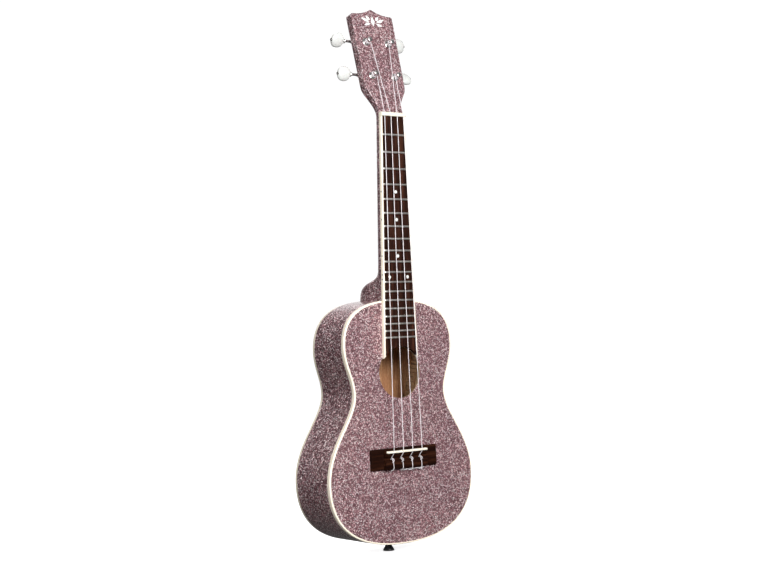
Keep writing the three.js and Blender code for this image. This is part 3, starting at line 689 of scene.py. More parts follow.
def make_linings():
    """Kerfed strips: blocks on a thin web, so that they bend round the rim."""
    base = outline(LINING_OUTER)
    count = len(base)
    lengths = [0.0]
    for i in range(count):
        lengths.append(lengths[-1] + (base[(i + 1) % count] - base[i]).length)
    total = lengths[-1]
    blocks = round(total / KERF_PITCH)
    pitch = total / blocks
    gap = 0.04
    stations = []
    for i in range(blocks):
        cut = (i + 1) * pitch - KERF
        stations += [(i * pitch, True), (cut, True), (cut + gap, False), ((i + 1) * pitch - gap, False)]

    def spot(distance):
        index = max(i for i in range(count) if lengths[i] <= distance)
        return index, (distance - lengths[index]) / (lengths[index + 1] - lengths[index])
    spots = [(spot(distance), whole) for distance, whole in stations]
    lining_inner = LINING_OUTER + LINING_WIDTH
    whole = [
        (LINING_OUTER, 0), (lining_inner, 0), (lining_inner, 3.2), (LINING_OUTER + 4.2, 6.5),
        (LINING_OUTER + 2.2, LINING_DEPTH), (LINING_OUTER, LINING_DEPTH),
    ]
    web = [
        (LINING_OUTER, 0), (LINING_OUTER + 1.4, 0), (LINING_OUTER + 1.4, 3.2), (LINING_OUTER + 1.4, 6.5),
        (LINING_OUTER + 1.2, LINING_DEPTH), (LINING_OUTER, LINING_DEPTH),
    ]
    outlines = {inset: outline(inset) for inset, _ in whole + web}
    for name, level in (("front", front), ("back", back)):
        sections = []
        for (index, share), full in spots:
            section = []
            for inset, offset in whole if full else web:
                here = outlines[inset]
                point = here[index].lerp(here[(index + 1) % count], share)
                section.append(Vector((point.x, level(PLATE + offset)(point.y), point.y)))
            sections.append(section)
        add_piece(
            f"{name}_kerfed_lining", [loft(sections, loop=True)], [LINING_WOOD],
            stands_for=[f"{name}_lining"])


def make_end_block(name, half, length, upper):
    """A block that steps in behind both linings and reaches the side between them."""
    inner = LINING_OUTER + LINING_WIDTH + SEAM
    far = (BODY_TOP - length) if upper else (BODY_BOTTOM + length)
    steps = 12
    across = [half - 2 * half * i / steps for i in range(steps + 1)]
    levels = [
        (inner, front(PLATE)), (inner, front(PLATE + LINING_DEPTH + SEAM)),
        (LINING_OUTER, front(PLATE + LINING_DEPTH + SEAM + 0.02)),
        (LINING_OUTER, back(PLATE + LINING_DEPTH + SEAM + 0.02)),
        (inner, back(PLATE + LINING_DEPTH + SEAM)), (inner, back(PLATE)),
    ]
    rings = []
    for inset, level in levels:
        edge = [(x, end_height(x, inset, upper)) for x in across]
        ring = [*edge, (-half, far), (half, far)]
        rings.append([Vector((x, level(z), z)) for x, z in ring])
    add_piece(
        f"{name}_wood", [loft(rings)], [LINING_WOOD], stands_for=[name], bevel=0.5)


def make_brace(name, start, end, width, height, level, sign, stands_for=(), flat=False):
    """A glued bar from start to end, given as (x, z), that thins out at both ends."""
    start, end = Vector(start), Vector(end)
    along = (end - start).normalized()
    across = Vector((-along.y, along.x))
    stations = 24
    if flat:
        section = [(0, -0.5), (0, 0.5), (0.8, 0.5), (1, 0.46), (1, -0.46), (0.8, -0.5)]
    else:
        section = [
            (0, -0.5), (0, 0.5), (0.45, 0.5), (0.78, 0.38), (0.95, 0.2), (1, 0), (0.95, -0.2),
            (0.78, -0.38), (0.45, -0.5),
        ]
    rings = []
    for i in range(stations + 1):
        share = i / stations
        middle = start.lerp(end, share)
        from_end = min(share, 1 - share) * (end - start).length
        slope = min(1.0, from_end / (2.6 * height))
        tall = height * (0.28 + 0.72 * (slope * slope * (3 - 2 * slope)))
        if flat:
            tall = height
        ring = []
        for rise, side in section:
            place = middle + across * side * width
            ring.append(Vector((place.x, level(place.y) + sign * rise * tall, place.y)))
        rings.append(ring)
    add_piece(name, [loft(rings)], [SPRUCE], stands_for=stands_for)


def make_bracing():
    inner = LINING_OUTER + LINING_WIDTH + SEAM
    for label, side in (("upper", 1), ("lower", -1)):
        node = f"top_brace_{label}"
        low, high = span(node)
        z = (low.z + high.z) / 2
        reach = min(half_width(low.z, inner), half_width(high.z, inner))
        make_brace(
            f"{node}_bar", (-reach, z), (reach, z), high.z - low.z, high.y - low.y,
            front(PLATE), 1, stands_for=[node])
    low, high = span("back_brace")
    z = (low.z + high.z) / 2
    reach = half_width(low.z, inner)
    make_brace(
        "back_brace_lower_bar", (-reach, z), (reach, z), BRACE_WIDTH, BRACE_HEIGHT,
        back(PLATE), -1, stands_for=["back_brace"])
    upper_z = BODY_BOTTOM + UPPER_BOUT[1]
    reach = half_width(upper_z, inner) - 1
    make_brace(
        "back_brace_upper_bar", (-reach, upper_z), (reach, upper_z), BRACE_WIDTH, BRACE_HEIGHT,
        back(PLATE), -1)
    for number, (upper_x, lower_x) in enumerate(((-20, -44), (0, 0), (20, 44)), 1):
        make_brace(
            f"fan_brace_{number}", (lower_x, BODY_BOTTOM + 34), (upper_x, SADDLE_Z + 42), 5, 4.5,
            front(PLATE), 1)
    plate_z = (BRIDGE_LOW.z + BRIDGE_HIGH.z) / 2
    make_brace(
        "bridge_plate", (-54, plate_z), (54, plate_z), 30, 1.6, front(PLATE), 1, flat=True)
    make_brace(
        "back_centre_strip", (0, BODY_BOTTOM + 20), (0, BODY_TOP - 28), 14, 1.4, back(PLATE), -1, flat=True)


def cross_slot(place, depth, reach, width=0.55):
    """The closed cutter of a cross-head screw's recess."""
    arms = [
        (reach, -width), (reach, width), (width, width), (width, reach), (-width, reach),
        (-width, width), (-reach, width), (-reach, -width), (-width, -width), (-width, -reach),
        (width, -reach), (width, -width),
    ]
    top = [place(x, y, 3) for x, y in arms]
    rim = [place(x, y, 0) for x, y in arms]
    foot = [place(x * 0.55, y * 0.55, -depth) for x, y in arms]
    return loft([top, rim, foot])


def make_screw(name, place, radius, rise, material, body="instrument", seat=0.4):
    """A domed cross-head screw; place maps (across, across, outwards) to the part."""
    profile = [(0, -seat), (radius, -seat), (radius, 0.15 * rise)]
    for i in range(1, 9):
        angle = math.pi / 2 * i / 8
        profile.append((radius * math.cos(angle), rise * (0.15 + 0.85 * math.sin(angle))))
    screw = add_piece(name, [lathe(profile, place, 32)], [material], body)
    shifted = lambda x, y, z: place(x, y, z + rise)
    carve(screw, [cross_slot(shifted, rise * 0.8, radius * 0.55, radius * 0.14)])


def make_strap_button():
    recess = 0.9
    profile = [
        (0, recess), (2.9, recess), (3.1, recess - 0.2), (3.1, 0.2), (3.35, 0), (5.0, 0),
        (6.1, 0.15), (6.5, 0.5), (6.62, 1.05), (6.45, 1.7), (5.8, 2.8), (5.0, 4.0), (4.3, 5.1),
        (3.8, 6.2), (3.5, 7.4), (3.4, 8.8), (3.5, 9.8), (3.9, 10.6), (3.9, BODY_BOTTOM - 0.05),
        (0, BODY_BOTTOM - 0.05),
    ]
    down = lambda x, y, z: Vector((x, y, z))
    add_piece(
        "strap_button_turned", [lathe(profile, down, 64)], [BLACK],
        stands_for=["strap_button"], crease=50)
    outwards = lambda x, y, z: Vector((x, y, recess - z))
    make_screw("strap_button_screw", outwards, 2.7, 0.75, DARK_STEEL)


# ---------------------------------------------------------------- neck and head

def on_head(x, depth, station):
    """A place in the head's frame: depth runs back from its face, station up it."""
    lean, upright = math.sin(HEAD_TILT), math.cos(HEAD_TILT)
    y = FRONT_Y + depth * upright + station * lean
    return Vector((x, y, HEAD_Z - depth * lean + station * upright))


HEAD_FOOT = 17.3
HEAD_HIP = 32.0
HEAD_CORNER = (30.0, 119.2)
HEAD_LENGTH = 128.2
HEAD_FLAT = 96.0  # above this station the rows follow the peaked top


def lookup(pairs, value):
    for (low, at_low), (high, at_high) in zip(pairs, pairs[1:]):
        if low <= value <= high:
            return at_low + (at_high - at_low) * (value - low) / max(high - low, 1e-9)
    return pairs[0][1] if value < pairs[0][0] else pairs[-1][1]


def head_cheeks():
    """(station, half width) pairs up the head's side."""
    lower = [Vector(c) for c in ((HEAD_FOOT, 0), (HEAD_FOOT, 9), (19.5, 14.5), (23.2, 20))]
    upper = [Vector(c) for c in ((23.2, 20), (26.5, 24.8), (28.4, 26.5), (28.9, HEAD_HIP))]
    points = [bezier(lower, i / 20)[0] for i in range(20)]
    points += [bezier(upper, i / 20)[0] for i in range(21)]
    return [(p.y, p.x) for p in points] + [(HEAD_CORNER[1], HEAD_CORNER[0])]


def head_crown():
    """(distance from the centre line, station) pairs of the peaked top."""
    hollow = [Vector(c) for c in ((0, HEAD_LENGTH), (8, 123.4), (17, 121), (28.2, 121))]
    points = [bezier(hollow, i / 40)[0] for i in range(41)]
    corner = [(28.2 + 1.8 * math.sin(a), 119.2 + 1.8 * math.cos(a)) for a in (0.4, 0.8, 1.2, 1.57)]
    return [(p.x, p.y) for p in points] + corner


CHEEKS = head_cheeks()
CROWN = head_crown()
RING_HALF = 42  # points across each of a neck ring's two faces
NECK_POWER = 2.3  # roundness of the neck's back; 2 would be an ellipse
NECK_DEPTH = 13.9


def edge_drop(x, half, radius):
    over = max(0.0, abs(x) - (half - radius))
    return radius - math.sqrt(max(0.0, radius ** 2 - over ** 2))


def neck_ring(half, depth, square, front_edge, inset=0.0, power=NECK_POWER):
    """A ring of (x, depth): square runs from 0, a half superellipse, to 1, a rounded plate."""
    front_half, back_half = [], []
    for k in range(RING_HALF):
        x = -math.cos(math.pi * k / (RING_HALF - 1)) * half
        near = edge_drop(x, half, front_edge)
        ellipse = depth * max(0.0, 1 - abs(x / half) ** power) ** (1 / power)
        plate = depth - edge_drop(x, half, 1.3)
        far = max(ellipse * (1 - square) + plate * square, near + 0.05)
        scale = (half - inset) / half
        front_half.append((x * scale, near + inset))
        back_half.append((x * scale, far - inset))
    return front_half + back_half[::-1]


def ease(value, low, high):
    t = min(1.0, max(0.0, (value - low) / (high - low)))
    return t * t * (3 - 2 * t)


def make_neck():
    heel = [  # height relative to the nut, half width, depth and power, from the body upwards
        (-210.6, 22.5, 53.2, 4), (-205, 22.4, 52.4, 4), (-199, 22.3, 50.6, 4), (-194.5, 22.2, 47, 3.9),
        (-190.5, 22.1, 40.5, 3.6), (-187.3, 22, 31.5, 3), (-184, 21.9, 23.5, 2.5), (-180, 21.8, 18.6, 2.3),
        (-172, 21.6, 16.4, 2.3), (-150, 21.05, 15.8, 2.3), (-90, 19.5, 15, 2.3),
        (-20, 17.7, NECK_DEPTH, 2.3),
    ]
    rings = []
    for rise, half, depth, power in smooth_route(heel, 6):
        ring = neck_ring(half, depth, 0, 0.25, power=power)
        rings.append([Vector((x, FRONT_Y + y, NUT_Z + rise)) for x, y in ring])
    gap = HEAD_Z - NUT_Z
    start, finish = -18.0, 24.0
    count = 30
    for i in range(1, count + 1):
        station = start + (finish - start) * i / count
        lean = HEAD_TILT * ease(station, start, 14)
        square = ease(station, -6, 22)
        depth = NECK_DEPTH + (HEAD_THICKNESS - NECK_DEPTH) * ease(station, -4, 22)
        half = lookup(CHEEKS, station) if station > 0 else NUT_HALF - BOARD_TAPER * (station + gap) * 0.5
        base = on_head(0, 0, station) if station > 0 else Vector((0, FRONT_Y, HEAD_Z + station))
        ring = neck_ring(half, depth, square, 0.25 + 0.75 * ease(station, 0, 10))
        away = Vector((0, math.cos(lean), -math.sin(lean)))
        rings.append([base + Vector((x, 0, 0)) + away * y for x, y in ring])
    for i in range(1, 15):
        station = finish + (HEAD_FLAT - finish) * i / 14
        ring = neck_ring(lookup(CHEEKS, station), HEAD_THICKNESS, 1, 1.0)
        rings.append([on_head(x, y, station) for x, y in ring])
    top_half = HEAD_CORNER[0]
    soft = 1.1
    for i in range(1, 9):
        ring = neck_ring(top_half, HEAD_THICKNESS, 1, 1.0)
        rings.append([
            on_head(x, y, HEAD_FLAT + (lookup(CROWN, abs(x)) - soft - HEAD_FLAT) * i / 8) for x, y in ring])
    for turn in (25, 50, 70, 90):
        angle = math.radians(turn)
        inset = soft * (1 - math.cos(angle))
        ring = neck_ring(top_half, HEAD_THICKNESS, 1, 1.0, inset)
        rise = soft * (math.sin(angle) - 1)
        spread = top_half / (top_half - inset)
        rings.append([on_head(x, y, lookup(CROWN, abs(x) * spread) + rise) for x, y in ring])
    points, faces, looks = loft(rings, capped=False)
    size = 2 * RING_HALF
    last = (len(rings) - 1) * size
    for start_of_ring in (0, last):
        for i in range(RING_HALF - 1):
            face = [i, i + 1, size - 2 - i, size - 1 - i]
            faces.append([start_of_ring + k for k in face])
            looks.append(0)
    neck = add_piece(
        "neck_glitter", [(points, faces, looks)], [GLITTER],
        stands_for=["neck"], crease=42)
    bores = []
    for station in POST_STATIONS.values():
        for x in (-POST_X, POST_X):
            place = lambda a, b, h, x=x, s=station: on_head(x + a, h, s + b)
            bore = [(0, -3), (POST_RADIUS + 0.5, -3), (POST_RADIUS + 0.5, 14), (0, 14)]
            bores.append(lathe(bore, place, 32))
    carve(neck, bores)


def board_half(z):
    return NUT_HALF + BOARD_TAPER * (NUT_Z - z)


def board_end(x):
    """Height of the fretboard's lower end, flush with the sound hole."""
    return HOLE_Z + math.sqrt(HOLE_RADIUS ** 2 - x ** 2)


def strip_height(edge_share, inset, share):
    """A place down the board: (x, z) for a column that keeps its share of the width."""
    z = HOLE_Z + HOLE_RADIUS
    for _ in range(4):
        x = edge_share * (board_half(z) - inset)
        z = board_end(x)
    z += (NUT_Z - z) * share
    return edge_share * (board_half(z) - inset), z


def fret_place(number):
    return NUT_Z - SCALE_LENGTH * (1 - 2 ** (-number / 12))


def make_fretboard():
    columns, rows = 24, 40
    inset = BOARD_BINDING
    top, under = [], []
    for r in range(rows + 1):
        places = [strip_height(-1 + 2 * c / columns, inset, r / rows) for c in range(columns + 1)]
        top.append([Vector((x, BOARD_Y, z)) for x, z in places])
        under.append([Vector((x, FRONT_Y - 0.02, z)) for x, z in places])
    rings = [front_row + back_row[::-1] for front_row, back_row in zip(top, under)]
    points, faces, looks = loft(rings, capped=False)
    size = 2 * (columns + 1)
    for start in (0, rows * size):
        for c in range(columns):
            faces.append([start + c, start + c + 1, start + size - 2 - c, start + size - 1 - c])
            looks.append(0)
    add_piece(
        "fretboard_rosewood", [(points, faces, looks)], [BOARD_WOOD], stands_for=["fretboard"])
    for label, side in (("left", -1), ("right", 1)):
        rings = []
        for r in range(61):
            ring = []
            for inset, depth in ((BOARD_BINDING, 0), (0.75, 0), (0.22, 0.18), (0, 0.7), (0, BOARD - 0.02),
                                 (BOARD_BINDING, BOARD - 0.02)):
                x, z = strip_height(side, inset, r / 60)
                ring.append(Vector((x, BOARD_Y + depth, z)))
            rings.append(ring)
        add_piece(
            f"board_binding_{label}_strip", [loft(rings)], [CREAM],
            stands_for=[f"fretboard_binding_{label}"])


def make_frets():
    crown = [(1.0 * math.cos(a), 0.9 * math.sin(a)) for a in (math.pi * i / 10 for i in range(11))]
    for number in range(1, FRET_COUNT + 1):
        z = fret_place(number)
        reach = board_half(z) - BOARD_BINDING - 0.1
        rings = []
        for x, size in (
            (-reach, 0.3), (-reach + 0.25, 0.7), (-reach + 0.7, 0.95), (-reach + 1.2, 1), (0, 1),
            (reach - 1.2, 1), (reach - 0.7, 0.95), (reach - 0.25, 0.7), (reach, 0.3),
        ):
            ring = [Vector((x, BOARD_Y - height * size, z + side)) for side, height in crown]
            ring += [Vector((x, BOARD_Y + 0.3, z - 1.0)), Vector((x, BOARD_Y + 0.3, z + 1.0))]
            rings.append(ring)
        label = f"{number:02d}"
        add_piece(
            f"fret_wire_{label}", [loft(rings)], [FRET_WIRE],
            stands_for=[f"fret_{label}"], crease=50)


def disc(place, radius, low, high, segments=28):
    return lathe([(0, low), (radius, low), (radius, high), (0, high)], place, segments)


def make_markers():
    """Pearl dots in the board and small dark dots in its left binding."""
    for number in (5, 7, 10, 12):
        middle = (fret_place(number) + fret_place(number - 1)) / 2
        offsets = (-12.9, 12.9) if number == 12 else (0,)
        for place_number, x in enumerate(offsets):
            face = lambda a, b, h, x=x, z=middle: Vector((x + a, BOARD_Y - h, z + b))
            suffix = f"_{'left' if place_number == 0 else 'right'}" if number == 12 else ""
            add_piece(
                f"board_dot_{number:02d}{suffix}", [disc(face, 1.9, -0.6, 0.04)], [PEARL])
        for place_number, shift in enumerate((-2.6, 2.6) if number == 12 else (0,)):
            z = middle + shift
            edge = lambda a, b, h, z=z: Vector((-board_half(z) - h, BOARD_Y + 2.0 + a, z + b))
            suffix = f"_{'low' if place_number == 0 else 'high'}" if number == 12 else ""
            add_piece(
                f"side_dot_{number:02d}{suffix}", [disc(edge, 0.85, -0.5, 0.04, 20)], [BLACK])


def make_nut():
    """The nut's crest dips into a round slot under each string."""
    crest = STRING_NUT_HEIGHT + 0.28
    slot = STRING_RADIUS + 0.12
    floor_drop = 0.55
    stations = [-NUT_HALF, -NUT_HALF + 0.15, -NUT_HALF + 0.5, NUT_HALF - 0.5, NUT_HALF - 0.15, NUT_HALF]
    for x in STRING_NUT_X:
        stations += [x + slot * share for share in (-1.02, -1, -0.9, -0.7, -0.4, 0, 0.4, 0.7, 0.9, 1, 1.02)]
    rings = []
    for x in sorted(stations):
        dip = 0.0
        for string_x in STRING_NUT_X:
            over = abs(x - string_x) / slot
            if over < 1:
                dip = floor_drop + slot * math.sqrt(1 - over ** 2) - 0.3
        from_end = NUT_HALF - abs(x)
        soft = 0.5 - math.sqrt(max(0.0, 0.25 - max(0.0, 0.5 - from_end) ** 2))
        section = [
            (0, 0), (crest - 0.6 - dip - soft, 0.0), (crest - 0.1 - dip - soft, 0.35),
            (crest - dip - soft, 1.0), (crest - 0.25 - dip - soft, 2.0), (crest - 0.8 - dip - soft, 3.0),
            (crest - 1.6 - dip - soft, 4.0), (crest - 2.3 - dip - soft, 4.6), (0, 4.6),
        ]
        rings.append([Vector((x, FRONT_Y - height, NUT_Z + z)) for height, z in section])
    add_piece("nut_bone", [loft(rings)], [BONE], stands_for=["nut"], crease=48)


def leaf(root, tip, width, steps=12):
    """A pointed leaf between two 2-D points."""
    root, tip = Vector(root), Vector(tip)
    along = tip - root
    across = Vector((-along.y, along.x)).normalized()
    sides = []
    for sign in (1, -1):
        row = []
        for i in range(steps):
            t = i / steps
            swell = math.sin(math.pi * t ** 0.8) * width / 2
            row.append(root + along * t + across * swell * sign)
        sides.append(row)
    return sides[0] + [tip] + sides[1][:0:-1]


def make_head_ornament():
    """A plain pearl inlay: a diamond between two sprays of leaves."""
    low, high = -0.05, 0.4
    place = lambda x, s, depth: on_head(x, depth, s)
    middle = 112.5
    shapes = {"diamond": [
        Vector((0, middle + 6.5)), Vector((2.9, middle)), Vector((0, middle - 6.5)), Vector((-2.9, middle)),
    ]}
    for label, side in (("left", -1), ("right", 1)):
        sprays = ((4.2, 1.5, 9.5, 6.8, 3.4), (5.4, -0.6, 17.0, 3.6, 3.6), (4.2, -2.6, 13.2, -5.2, 3.2))
        for number, (x0, s0, x1, s1, width) in enumerate(sprays, 1):
            shapes[f"leaf_{label}_{number}"] = leaf(
                (side * x0, middle + s0), (side * x1, middle + s1), width)
    for label, shape in shapes.items():
        ring = [[place(p.x, p.y, level) for p in shape] for level in (low, high)]
        add_piece(f"head_inlay_{label}", [loft(ring)], [PEARL])


# ---------------------------------------------------------------- bridge

def make_bridge():
    bottom, top = BRIDGE_LOW.z, BRIDGE_HIGH.z
    half = BRIDGE_HIGH.x
    centre_half = 30.0
    centre = [
        (0, bottom), (7.0, bottom), (7.7, bottom + 0.25), (TIE_HEIGHT, bottom + 1.0),
        (TIE_HEIGHT, TIE_TOP - 1.0), (7.7, TIE_TOP - 0.25), (7.0, TIE_TOP), (4.4, TIE_TOP + 0.5),
        (3.8, TIE_TOP + 1.4), (3.9, SADDLE_Z - 6.6), (5.0, SADDLE_Z - 5.6), (7.0, SADDLE_Z - 3.9),
        (7.5, SADDLE_Z - 3.0), (7.7, SADDLE_Z), (7.4, SADDLE_Z + 1.8), (6.4, top - 0.9), (5.0, top),
        (0, top),
    ]
    wing_z = [bottom + (top - bottom) * share for share in (
        0, 0, 0.02, 0.06, 0.30, 0.42, 0.45, 0.47, 0.5, 0.56, 0.62, 0.68, 0.74, 0.80, 0.88, 0.96, 1, 1)]
    wing_rise = [0, 2.6, 3.2, 3.4] + [3.5] * 10 + [3.4, 3.2, 2.6, 0]
    wing = list(zip(wing_rise, wing_z))
    stations = [
        (half, 0, 0.75), (half - 0.15, 0, 0.9), (half - 0.6, 0, 0.98), (half - 1.4, 0, 1), (38, 0, 1),
        (centre_half + 0.9, 0, 1), (centre_half + 0.6, 0.06, 1), (centre_half + 0.3, 0.35, 1),
        (centre_half, 0.9, 1), (centre_half - 0.4, 1, 1), (18, 1, 1), (6, 1, 1),
    ]
    rings = []
    for x, share, size in stations + [(-x, share, size) for x, share, size in reversed(stations)]:
        ring = []
        for (wing_height, wing_place), (centre_height, centre_place) in zip(wing, centre):
            height = (wing_height * (1 - share) + centre_height * share) * size
            ring.append(Vector((x, FRONT_Y - height, wing_place * (1 - share) + centre_place * share)))
        rings.append(ring)
    bridge = add_piece(
        "bridge_rosewood", [loft(rings)], [BRIDGE_WOOD], stands_for=["bridge"], crease=32)
    cuts = []
    for x in STRING_SADDLE_X:
        bore = lambda a, b, h, x=x: Vector((x + a, FRONT_Y - TIE_HOLE_HEIGHT - b, bottom + h))
        cuts.append(lathe([(0, -2), (0.95, -2), (0.95, 12.4), (0, 12.4)], bore, 16))
    slot_half = (SADDLE_HIGH.z - SADDLE_LOW.z) / 2 + 0.1
    slot = rounded([
        (SADDLE_HIGH.x + 0.1, -slot_half), (SADDLE_HIGH.x + 0.1, slot_half),
        (SADDLE_LOW.x - 0.1, slot_half), (SADDLE_LOW.x - 0.1, -slot_half),
    ], slot_half, 5)
    cuts.append(loft([
        [Vector((p.x, FRONT_Y - height, SADDLE_Z + p.y)) for p in slot] for height in (4.0, 12.0)]))
    carve(bridge, cuts)
    bridge.data.set_sharp_from_angle(angle=math.radians(32))

    foot, crest = 4.05, 9.9
    saddle_half = (SADDLE_HIGH.z - SADDLE_LOW.z) / 2
    plan = rounded([
        (SADDLE_HIGH.x, -saddle_half), (SADDLE_HIGH.x, saddle_half),
        (SADDLE_LOW.x, saddle_half), (SADDLE_LOW.x, -saddle_half),
    ], saddle_half * 0.98, 6)
    rings = []
    for inset, height in (
        (0, foot), (0, crest - 1.0), (0.12, crest - 0.5), (0.42, crest - 0.14), (0.85, crest),
    ):
        ring = []
        for p in plan:
            z = p.y * (1 - inset / saddle_half)
            x = p.x - math.copysign(inset * 0.6, p.x)
            ring.append(Vector((x, FRONT_Y - height, SADDLE_Z + z)))
        rings.append(ring)
    add_piece("saddle_bone", [loft(rings)], [BONE], stands_for=["saddle"], crease=50)


# ---------------------------------------------------------------- tuners

def tuner_place(side, station):
    """Maps (outwards, backwards, up) about a post, from the head's back, to the part."""
    return lambda x, y, z: on_head(side * (POST_X + x), HEAD_THICKNESS + y, station + z)


def make_plate(label, place):
    width, low, high, thickness = 6.5, -9.5, 14.0, 1.0
    shape = rounded([(-width, low), (width, low), (width, high), (-width, high)], 2.6, 6)
    flat = lambda x, z, y: place(x, y, z)
    parts = [slab(shape, flat, 0.02, thickness, 0.28)]
    ear = rounded([(0.5, 4.2), (0.5, 9.8), (8.0, 9.8), (8.0, 4.2)], 1.9, 5)
    for side in (-1, 1):
        ends = sorted((side * EAR_INNER, side * (EAR_INNER + EAR_THICKNESS)))
        upright = lambda y, z, x: place(x, y, z)
        parts.append(slab(ear, upright, ends[0], ends[1], 0.2))
    add_piece(
        f"tuner_plate_{label}_pressed", parts, [STEEL],
        stands_for=[f"tuner_plate_{label}"])
    for name, z in (("low", -6.9), ("high", 11.9)):
        outwards = lambda a, b, h, z=z: place(a, thickness + h, z + b)
        make_screw(f"plate_screw_{label}_{name}", outwards, 1.75, 0.85, STEEL)


def make_ferrule(label, side, station):
    """A pressed-in bush with a stepped flange round the post on the head's face."""
    inner, sleeve, flange = POST_RADIUS + 0.12, POST_RADIUS + 0.48, 4.6
    profile = [
        (inner, 6.0), (inner, -0.7), (inner + 0.2, -1.1), (inner + 0.7, -1.25), (flange - 1.0, -1.1),
        (flange - 0.75, -0.7), (flange - 0.2, -0.55), (flange, -0.3), (flange, 0.02), (sleeve, 0.02),
        (sleeve, 6.0),
    ]
    place = lambda a, b, h: on_head(side * POST_X + a, h, station + b)
    add_piece(
        f"post_ferrule_{label}", [lathe(profile, place, 56, loop=True)], [STEEL], crease=50)


def make_post(label, place):
    face = -HEAD_THICKNESS
    tip = face - POST_REACH
    profile = [
        (0, tip - 0.05), (POST_RADIUS - 1.1, tip), (POST_RADIUS - 0.45, tip + 0.12),
        (POST_RADIUS - 0.1, tip + 0.45),
        (POST_RADIUS, tip + 0.9), (POST_RADIUS, face - 6.6), (POST_RADIUS - 0.1, face - 6.2),
        (POST_WAIST, face - 5.6), (POST_WAIST, face - 2.2), (POST_RADIUS - 0.1, face - 1.6),
        (POST_RADIUS, face - 1.3), (POST_RADIUS, 1.25), (3.5, 1.3), (3.5, GEAR_DEPTH - GEAR_HALF),
        (3.5, GEAR_DEPTH + GEAR_HALF + 0.2), (2.35, GEAR_DEPTH + GEAR_HALF + 0.2),
        (2.3, POST_END - 0.5), (1.8, POST_END), (0, POST_END),
    ]
    turned = lathe(profile, lambda a, b, h: place(a, h, b), 40)
    lean = math.atan(WORM_LEAD / (2 * math.pi * WORM_PITCH))
    corners = (
        (GEAR_ROOT, -0.157), (GEAR_ROOT + 0.35, -0.128), (GEAR_TIP - 0.15, -0.062), (GEAR_TIP, -0.04),
        (GEAR_TIP, 0.04), (GEAR_TIP - 0.15, 0.062), (GEAR_ROOT + 0.35, 0.128), (GEAR_ROOT, 0.157),
    )
    layers = []
    for share, size in ((-1, 0.96), (-0.8, 1), (0, 1), (0.8, 1), (1, 0.96)):
        offset = share * GEAR_HALF
        twist = offset * math.tan(lean) / GEAR_PITCH
        ring = []
        for tooth in range(GEAR_TEETH):
            for radius, side in corners:
                angle = math.pi / 2 + 2 * math.pi * tooth / GEAR_TEETH + side + twist
                reach = radius * size
                ring.append(place(reach * math.cos(angle), GEAR_DEPTH + offset, reach * math.sin(angle)))
        layers.append(ring)
    add_piece(
        f"string_post_{label}_turned", [turned, loft(layers)], [STEEL],
        f"string_post_{label}", stands_for=[f"post_{label}"], crease=35)
    outwards = lambda a, b, h: place(a, POST_END + h, b)
    make_screw(f"gear_screw_{label}", outwards, 1.7, 0.7, DARK_STEEL, f"string_post_{label}", seat=0.3)


def make_worm(label, place):
    shoulder = EAR_INNER + EAR_THICKNESS + SEAM
    profile = [
        (0, -6.3), (0.9, -6.3), (1.3, -6.0), (1.3, -EAR_INNER + 0.2), (WORM_ROOT, -EAR_INNER + 0.3),
        (WORM_ROOT, EAR_INNER - 0.3), (1.3, EAR_INNER - 0.2), (1.3, shoulder), (2.5, shoulder),
        (2.75, shoulder + 0.2), (2.75, 7.0), (2.45, 7.6), (2.1, 8.2), (1.85, 9.2), (1.62, 11.0),
        (1.55, 12.6), (1.5, 14.0), (1.5, 17.6), (2.6, 17.8), (2.9, 18.1), (2.9, 18.7), (2.6, 19.2),
        (1.5, 19.4),
        (1.5, KNOB_CENTRE), (0, KNOB_CENTRE),
    ]
    along = lambda a, b, x: place(x, GEAR_DEPTH + a, WORM_OFFSET + b)
    shaft = lathe(profile, along, 32)
    steps = 84
    rings = []
    for i in range(steps + 1):
        x = -WORM_HALF + 2 * WORM_HALF * i / steps
        angle = -math.pi / 2 - 2 * math.pi * (x - WORM_LEAD / 2) / WORM_LEAD
        fade = min(1.0, 0.25 + min(i, steps - i) / 9)
        ring = []
        for radius, side in ((1.1, -0.64), (WORM_TIP - 0.12, -0.3), (WORM_TIP, -0.2), (WORM_TIP, 0.2),
                             (WORM_TIP - 0.12, 0.3), (1.1, 0.64)):
            radius = 1.1 + (radius - 1.1) * fade
            ring.append(along(radius * math.cos(angle), radius * math.sin(angle), x + side))
        rings.append(ring)
    add_piece(
        f"worm_shaft_{label}", [shaft, loft(rings)], [STEEL],
        f"knob_shaft_{label}", stands_for=[f"worm_{label}"], crease=40)


def make_knob(label, place):
    """A thumb button: a flattened pebble of pearl with a screw in its outer end."""
    turn = math.radians(KNOB_TURNS[label])
    steps, around = 40, 56
    rings = []
    for i in range(steps + 1):
        along = -math.cos(math.pi * i / steps)
        half = KNOB_WIDTH / 2 * (1 - abs(along) ** 2.5) ** 0.45
        ring = []
        for k in range(around):
            angle = 2 * math.pi * k / around
            thin = KNOB_THICKNESS / KNOB_WIDTH * half * math.sin(angle)
            wide = half * math.cos(angle)
            y = thin * math.cos(turn) - wide * math.sin(turn)
            z = thin * math.sin(turn) + wide * math.cos(turn)
            ring.append(place(KNOB_CENTRE + along * KNOB_LENGTH / 2, GEAR_DEPTH + y, WORM_OFFSET + z))
        rings.append(ring)
    body = f"knob_shaft_{label}"
    add_piece(
        f"tuner_button_{label}", [loft(rings, capped=False)], [SHADED_BUTTON_PEARL], body,
        stands_for=[f"knob_{label}"], crease=60)
    end = KNOB_CENTRE + KNOB_LENGTH / 2 - 0.25
    outwards = lambda a, b, h: place(end + h, GEAR_DEPTH + a, WORM_OFFSET + b)
    make_screw(f"button_screw_{label}", outwards, 1.9, 0.9, DARK_STEEL, body, seat=0.8)


